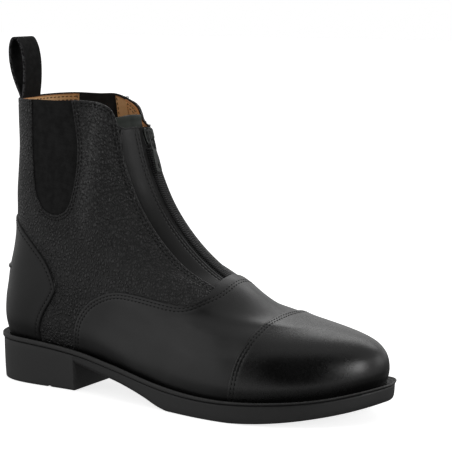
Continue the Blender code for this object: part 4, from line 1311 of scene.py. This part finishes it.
def smooth_loop(corners, count):
    """A closed smooth outline through corners."""
    corners = np.asarray(corners, float)
    wrapped = np.concatenate([corners[-3:], corners, corners[:3]])
    k = np.arange(len(wrapped)) - 3.0
    t = len(corners) * np.arange(count) / count
    return np.stack([curve(t, np.stack([k, c], 1)) for c in wrapped.T], 1)


def both_sides(half):
    """A closed row of corners from those on one side, whose first and last lie on the middle line."""
    return half + [(-x, y) for x, y in half[-2:0:-1]]


def squarish(wave, power):
    """A sine or cosine with fuller sides, for a section between a circle and a box."""
    return np.sign(wave) * np.abs(wave)**power


def swept(path, section):
    """A bar along a path in the (along, out) plane: its section, (side, across), carried square to it."""
    way = unit(np.gradient(path, axis=0))
    square = np.stack([-way[:, 1], way[:, 0]], 1)
    flat = path[:, None] + section[None, :, :1] * square[:, None]
    across = np.broadcast_to(section[None, :, 1], flat.shape[:2])
    return np.stack([across, flat[..., 0], flat[..., 1]], -1)


def join(parts):
    """Several bodies, each points, triangles and quads, as one, with all their faces outward."""
    points, triangles, quads, base = [], [], [], 0
    for p, *faces in parts:
        t, q = facing_out(p, *faces)
        points.append(p)
        triangles.append(t + base)
        quads.append(q + base)
        base += len(p)
    return np.concatenate(points), np.concatenate(triangles), np.concatenate(quads)


def capped(grid):
    """A tube of sections with its two ends closed by fans."""
    points = np.concatenate([grid.reshape(-1, 3), grid[:1].mean(1), grid[-1:].mean(1)])
    return points, *tube_faces(*grid.shape[:2])


def ring_bar(outer, inner, half_thick, steps):
    """A flat link with a hole: between an outer and an inner outline, with a rounded section all round."""
    turn = circle(steps)
    share = 0.5 + 0.5 * squarish(np.cos(turn), 0.6)
    lift = half_thick * squarish(np.sin(turn), 0.6)
    flat = inner[:, None] + share[None, :, None] * (outer - inner)[:, None]
    points = np.concatenate([flat, np.broadcast_to(lift[None, :, None], (*flat.shape[:2], 1))], -1)
    return points.reshape(-1, 3), np.zeros((0, 3), int), grid_quads(len(outer), steps, True, True)


def in_frame(points, origin, up, out):
    """From (across, along, out) to the boot's frame."""
    return origin + points[:, :1] * np.array([0.0, 1.0, 0.0]) + points[:, 1:2] * up + points[:, 2:] * out


def make_slider():
    """The slider: two rounded shield plates with a post between them, and the bridge for the tab."""
    middle, up, out = slider_frame()
    shield = smooth_loop(both_sides([(0, 5.0), (3.4, 5.5), (4.2, 3.6), (4.2, -0.5), (3.3, -4.6),
                                     (2.2, -6.3), (0, -6.0)]), 72)
    post = smooth_loop(both_sides([(0, 5.0), (1.5, 3.5), (0.8, 1.0), (0, 0.0)]), 36)
    plates = [pillow(shield, (-0.15, -0.1, 0.15, 0.5, 0.8, 0.98, 1.0),
                     (0.80, 0.93, 0.99, 1.0, 0.96, 0.85, 0.55)),
              pillow(shield, (-1.6, -1.58, -1.45, -1.2, -1.0, -0.95), (0.6, 0.9, 0.98, 1.0, 0.96, 0.85)),
              pillow(post, (-1.2, 0.2), (1.0, 1.0))]
    path = along([(-3.5, 0.5), (-3.45, 2.0), (-3.0, 3.2), (-1.8, 3.85), (0.7, 3.95), (3.2, 3.85), (4.4, 3.2),
                  (4.85, 2.0), (4.9, 0.5)], 60)
    turn = circle(14)
    section = np.stack([0.42 * squarish(np.sin(turn), 0.7), 1.15 * squarish(np.cos(turn), 0.7)], 1)
    bridge = capped(swept(path, section))
    points, fans, quads = join([*plates, bridge])
    wear = np.zeros(len(points))
    wear[-len(bridge[0]):] = 0.30
    piece("zip_slider", in_frame(points, middle, up, out), fans, quads, METAL, "black_metal",
          stands_for=["zip_slider"], values={"wear": wear})


def make_tab():
    """The pull tab: a wire bail round the bridge and a flat grip with an oval hole, hanging from the pin."""
    middle, up, out = slider_frame()
    pin = middle + PIN_ALONG * up + PIN_OUT * out
    count, bail_steps, grip_steps = 96, 8, 16
    bail_out = [(0, 0.72), (2.2, 0.6), (2.72, -0.4), (2.75, -5.0), (2.7, -9.5), (2.2, -12.6), (0, -13.4)]
    bail_in = [(0, -0.62), (1.35, -0.68), (1.72, -1.2), (1.75, -5.0), (1.7, -9.5), (1.1, -11.2), (0, -11.6)]
    grip = [(0, -12.2), (1.9, -12.4), (2.25, -14.0), (2.8, -17.5), (2.9, -21.5), (2.9, -25.2), (2.3, -27.3),
            (0, -28.0)]
    bail_out, bail_in, grip = (smooth_loop(both_sides(half), count) for half in (bail_out, bail_in, grip))
    turn = np.pi / 2 - circle(count)
    hole = np.stack([0.85 * np.cos(turn), -23.4 + 1.65 * np.sin(turn)], 1)
    points, fans, quads = join([ring_bar(bail_out, bail_in, 0.5, bail_steps),
                                ring_bar(grip, hole, 0.55, grip_steps)])
    wear = np.concatenate([np.full(count * bail_steps, 0.25),
                           np.tile(0.6 * np.abs(np.cos(circle(grip_steps)))**3, count)])
    piece("zip_pull_tab", in_frame(points, pin, up, out), fans, quads, METAL, "black_metal", "pull_tab",
          ["zip_pull_tab"], {"wear": wear})


make_chain()
make_tapes()
make_slider()
make_tab()


# Loop and spur rest

def make_loop():
    """The pull loop: a strap with a rounded flat section carried up the back leg, over the top and down the
    front leg, with both ends run into the collar; its cut sides are pale and a little frayed."""
    half, side, count = LOOP_THICK / 2, LOOP_WIDTH / 2, 15
    back = np.stack([LOOP[:, 1] + half, LOOP[:, 0]], 1)
    front = np.stack([LOOP[:, 2] - half, LOOP[:, 0]], 1)
    path = along(np.concatenate([[(16.6, 186.0), (16.4, 191.0)], back, [(LOOP_TOP[0], LOOP_TOP[1] - half)],
                                 front[::-1], [(17.7, 191.0), (17.5, 186.0)]]), 260)
    reach = lengths(path)
    flat = side - 0.25
    across = -flat + 2 * flat * np.linspace(0, 1, count)
    y = np.concatenate([across, [side, side], -across, [-side, -side]])
    face, bevel = np.full(count, half), np.array([0.55 * half, -0.55 * half])
    t = np.concatenate([face, bevel, -face, -bevel])
    cut_side = np.abs(y) >= side - 0.01
    way = unit(np.gradient(path, axis=0))
    square = np.stack([-way[:, 1], way[:, 0]], 1)
    ripple = 0.05 * np.sin(reach * 2 * np.pi / 1.1)[:, None] * cut_side
    flat_xz = path[:, None] + t[None, :, None] * square[:, None]
    grid = np.stack([flat_xz[..., 0], y + ripple, flat_xz[..., 1]], -1)
    run = np.stack(np.broadcast_arrays(y[None, :] / side, reach[:, None] / WEBBING_RUN[1] * 1.2), -1)
    wear = np.where(cut_side, 1.0, np.where(np.abs(y) > flat - 0.2, 0.35, 0.0))
    piece("pull_loop", *capped(grid), WEBBING, "webbing", stands_for=["pull_loop"],
          values={"wear": np.concatenate([np.tile(wear, len(path)), [0, 0]])},
          run=np.concatenate([run.reshape(-1, 2), [(0, 0), (0, 0)]]))


# The spur rest: half its reach round the heel, where it fades, its height, how far out and half its width
SPUR_U, SPUR_FADE, SPUR_V, SPUR_OUT, SPUR_HALF = 0.062, 0.0625, 0.332, 1.5, 1.3


def make_spur_rest():
    """A small ledge across the back of the counter: a half-round section carried round the heel, thinned to
    nothing at both ends."""
    count, steps = 60, 14
    u = np.linspace(-SPUR_U, SPUR_U, count)
    v = np.full(count, SPUR_V)
    spot, (out, _) = COUNTER.at(u, v)
    up = unit(ways(u, v)[1])
    turn = np.pi * np.arange(steps) / (steps - 1)
    taper = np.sqrt(np.clip(1 - (u / SPUR_FADE)**6, 0, 1))[:, None]
    lift = (out[:, None] - 0.15 + SPUR_OUT * np.sin(turn) * taper)[..., None]
    aside = (SPUR_HALF * np.cos(turn) * taper)[..., None]
    grid = spot.point[:, None] + lift * spot.normal[:, None] + aside * up[:, None]
    piece("spur_rest", *capped(grid), SMOOTH, "smooth_leather", stands_for=["spur_rest"],
          values={"wear": np.concatenate([np.tile(np.sin(turn)**4, count) * 0.4, [0, 0]])})


make_loop()
make_spur_rest()
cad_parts["insole"].data.materials.clear()
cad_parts["insole"].data.materials.append(LINING)


# Camera, floor and light

SIDE_LIGHT, TOP_LIGHT = 0.67, 0.50
DARK_CARD, CARD_EDGE, CARD_LIGHT = (0.42, -0.78, 0.46), (0.64, 0.86), 0.01
BACK_EDGE, BACK_LIGHT = (0.5, 1.6), 0.15
# The camera fitted to the photograph: degrees round and up, distance, pixels per millimetre, picture width
CAMERA_TURN, CAMERA_RISE, CAMERA_FAR, PIXELS_PER_MM, PICTURE = 29.87, 8.135, 1150.0, 1.515, 452
CAMERA_AIM, AIM_RIGHT, AIM_UP = np.array([145.0, 0.0, 90.0]), 23.56, 22.80
SENSOR, FLOOR_HALF = 36.0, 6.0
#          name, place, aim, width, height, power
LIGHTS = (("left panel", (-0.9, -1.1, 0.5), (0.0, 0.0, 0.08), 0.8, 0.8, 0.6),
          ("rear panel", (0.05, 1.14, 0.99), (0.10, 0.0, 0.06), 1.2, 0.5, 2.6),
          ("right panel", (1.2, 0.75, 0.42), (0.05, 0.0, 0.08), 0.8, 0.6, 1.2),
          ("right strip", (1.33, -0.36, 0.45), (0.11, -0.02, 0.04), 0.3, 0.7, 4.2),
          ("front panel", (-0.50, -0.85, 0.95), (-0.05, 0.0, 0.15), 0.4, 0.4, 0.4))


def stand(name, data, x, y, z, at):
    """A new object in the scene with its own axes at a place."""
    obj = bpy.data.objects.new(name, data)
    rows = [[float(a[i]) for a in (x, y, z, at)] for i in range(3)]
    obj.matrix_world = Matrix(rows + [[0, 0, 0, 1]])
    bpy.context.scene.collection.objects.link(obj)
    return obj


def make_camera():
    """A camera at the photograph's angle."""
    turn, rise = np.radians(CAMERA_TURN), np.radians(CAMERA_RISE)
    back = np.array([np.sin(turn) * np.cos(rise), -np.cos(turn) * np.cos(rise), np.sin(rise)])
    right = np.array([np.cos(turn), np.sin(turn), 0.0])
    up = np.cross(back, right)
    target = CAMERA_AIM + AIM_RIGHT * right + AIM_UP * up
    data = bpy.data.cameras.new("camera")
    data.sensor_width, data.lens = SENSOR, SENSOR * PIXELS_PER_MM * CAMERA_FAR / PICTURE
    data.clip_start, data.clip_end = 0.05, 50.0
    bpy.context.scene.camera = stand("camera", data, right, up, back, place(target + CAMERA_FAR * back))


def make_floor():
    """A pale floor that only the camera sees."""
    mesh = bpy.data.meshes.new("floor")
    corners = [(x * FLOOR_HALF, y * FLOOR_HALF, 0) for x, y in ((-1, -1), (1, -1), (1, 1), (-1, 1))]
    mesh.from_pydata(corners, [], [(0, 1, 2, 3)])
    floor = bpy.data.objects.new("floor", mesh)
    made, net, shader = material("floor", 0.85, 0.2)
    net.set(shader, "Base Color", net.mix(net.noise(net.here(), 3.0, 2.0), grey(0.90), grey(0.93)))
    net.set(shader, "Emission Color", grey(1.0))
    net.set(shader, "Emission Strength", 0.8)
    mesh.materials.append(made)
    bpy.context.scene.collection.objects.link(floor)
    floor.visible_glossy = floor.visible_diffuse = floor.visible_shadow = False


def make_room():
    """A bright room: darker above than at the sides, with a dark card in front and dark low at the back, and
    plain white where the camera sees it."""
    world = bpy.data.worlds.new("studio")
    world.use_nodes = True
    net = Net(world.node_tree)
    sky = world.node_tree.nodes["Background"]
    way = net.add("ShaderNodeTexCoord").outputs["Generated"]
    parts = net.split(way)
    card = net.ramp(net.vector("DOT_PRODUCT", way, DARK_CARD, "Value"), *CARD_EDGE, 1.0, CARD_LIGHT)
    height = net.ramp(parts[2], -0.2, 1.0, SIDE_LIGHT, TOP_LIGHT)
    low_back = net.ramp(net.math("MULTIPLY_ADD", parts[2], -4.0, parts[1]), *BACK_EDGE, 1.0, BACK_LIGHT)
    room = net.times(net.times(card, low_back), height)
    seen = net.add("ShaderNodeLightPath").outputs["Is Camera Ray"]
    net.set(sky, "Color", grey(1.0))
    net.set(sky, "Strength", net.math("MAXIMUM", room, seen))
    bpy.context.scene.world = world
    bpy.context.scene.view_settings.view_transform = "Standard"


def make_lights():
    """Soft light from panels, each turned to its aim."""
    for name, at, aim, width, height, power in LIGHTS:
        data = bpy.data.lights.new(name, "AREA")
        data.shape = "RECTANGLE"
        data.size, data.size_y, data.energy = width, height, power
        z = unit(np.subtract(at, aim))
        x = unit(np.cross((0.0, 0.0, 1.0), z))
        stand(name, data, x, np.cross(z, x), z, at)


make_camera()
make_floor()
make_room()
make_lights()
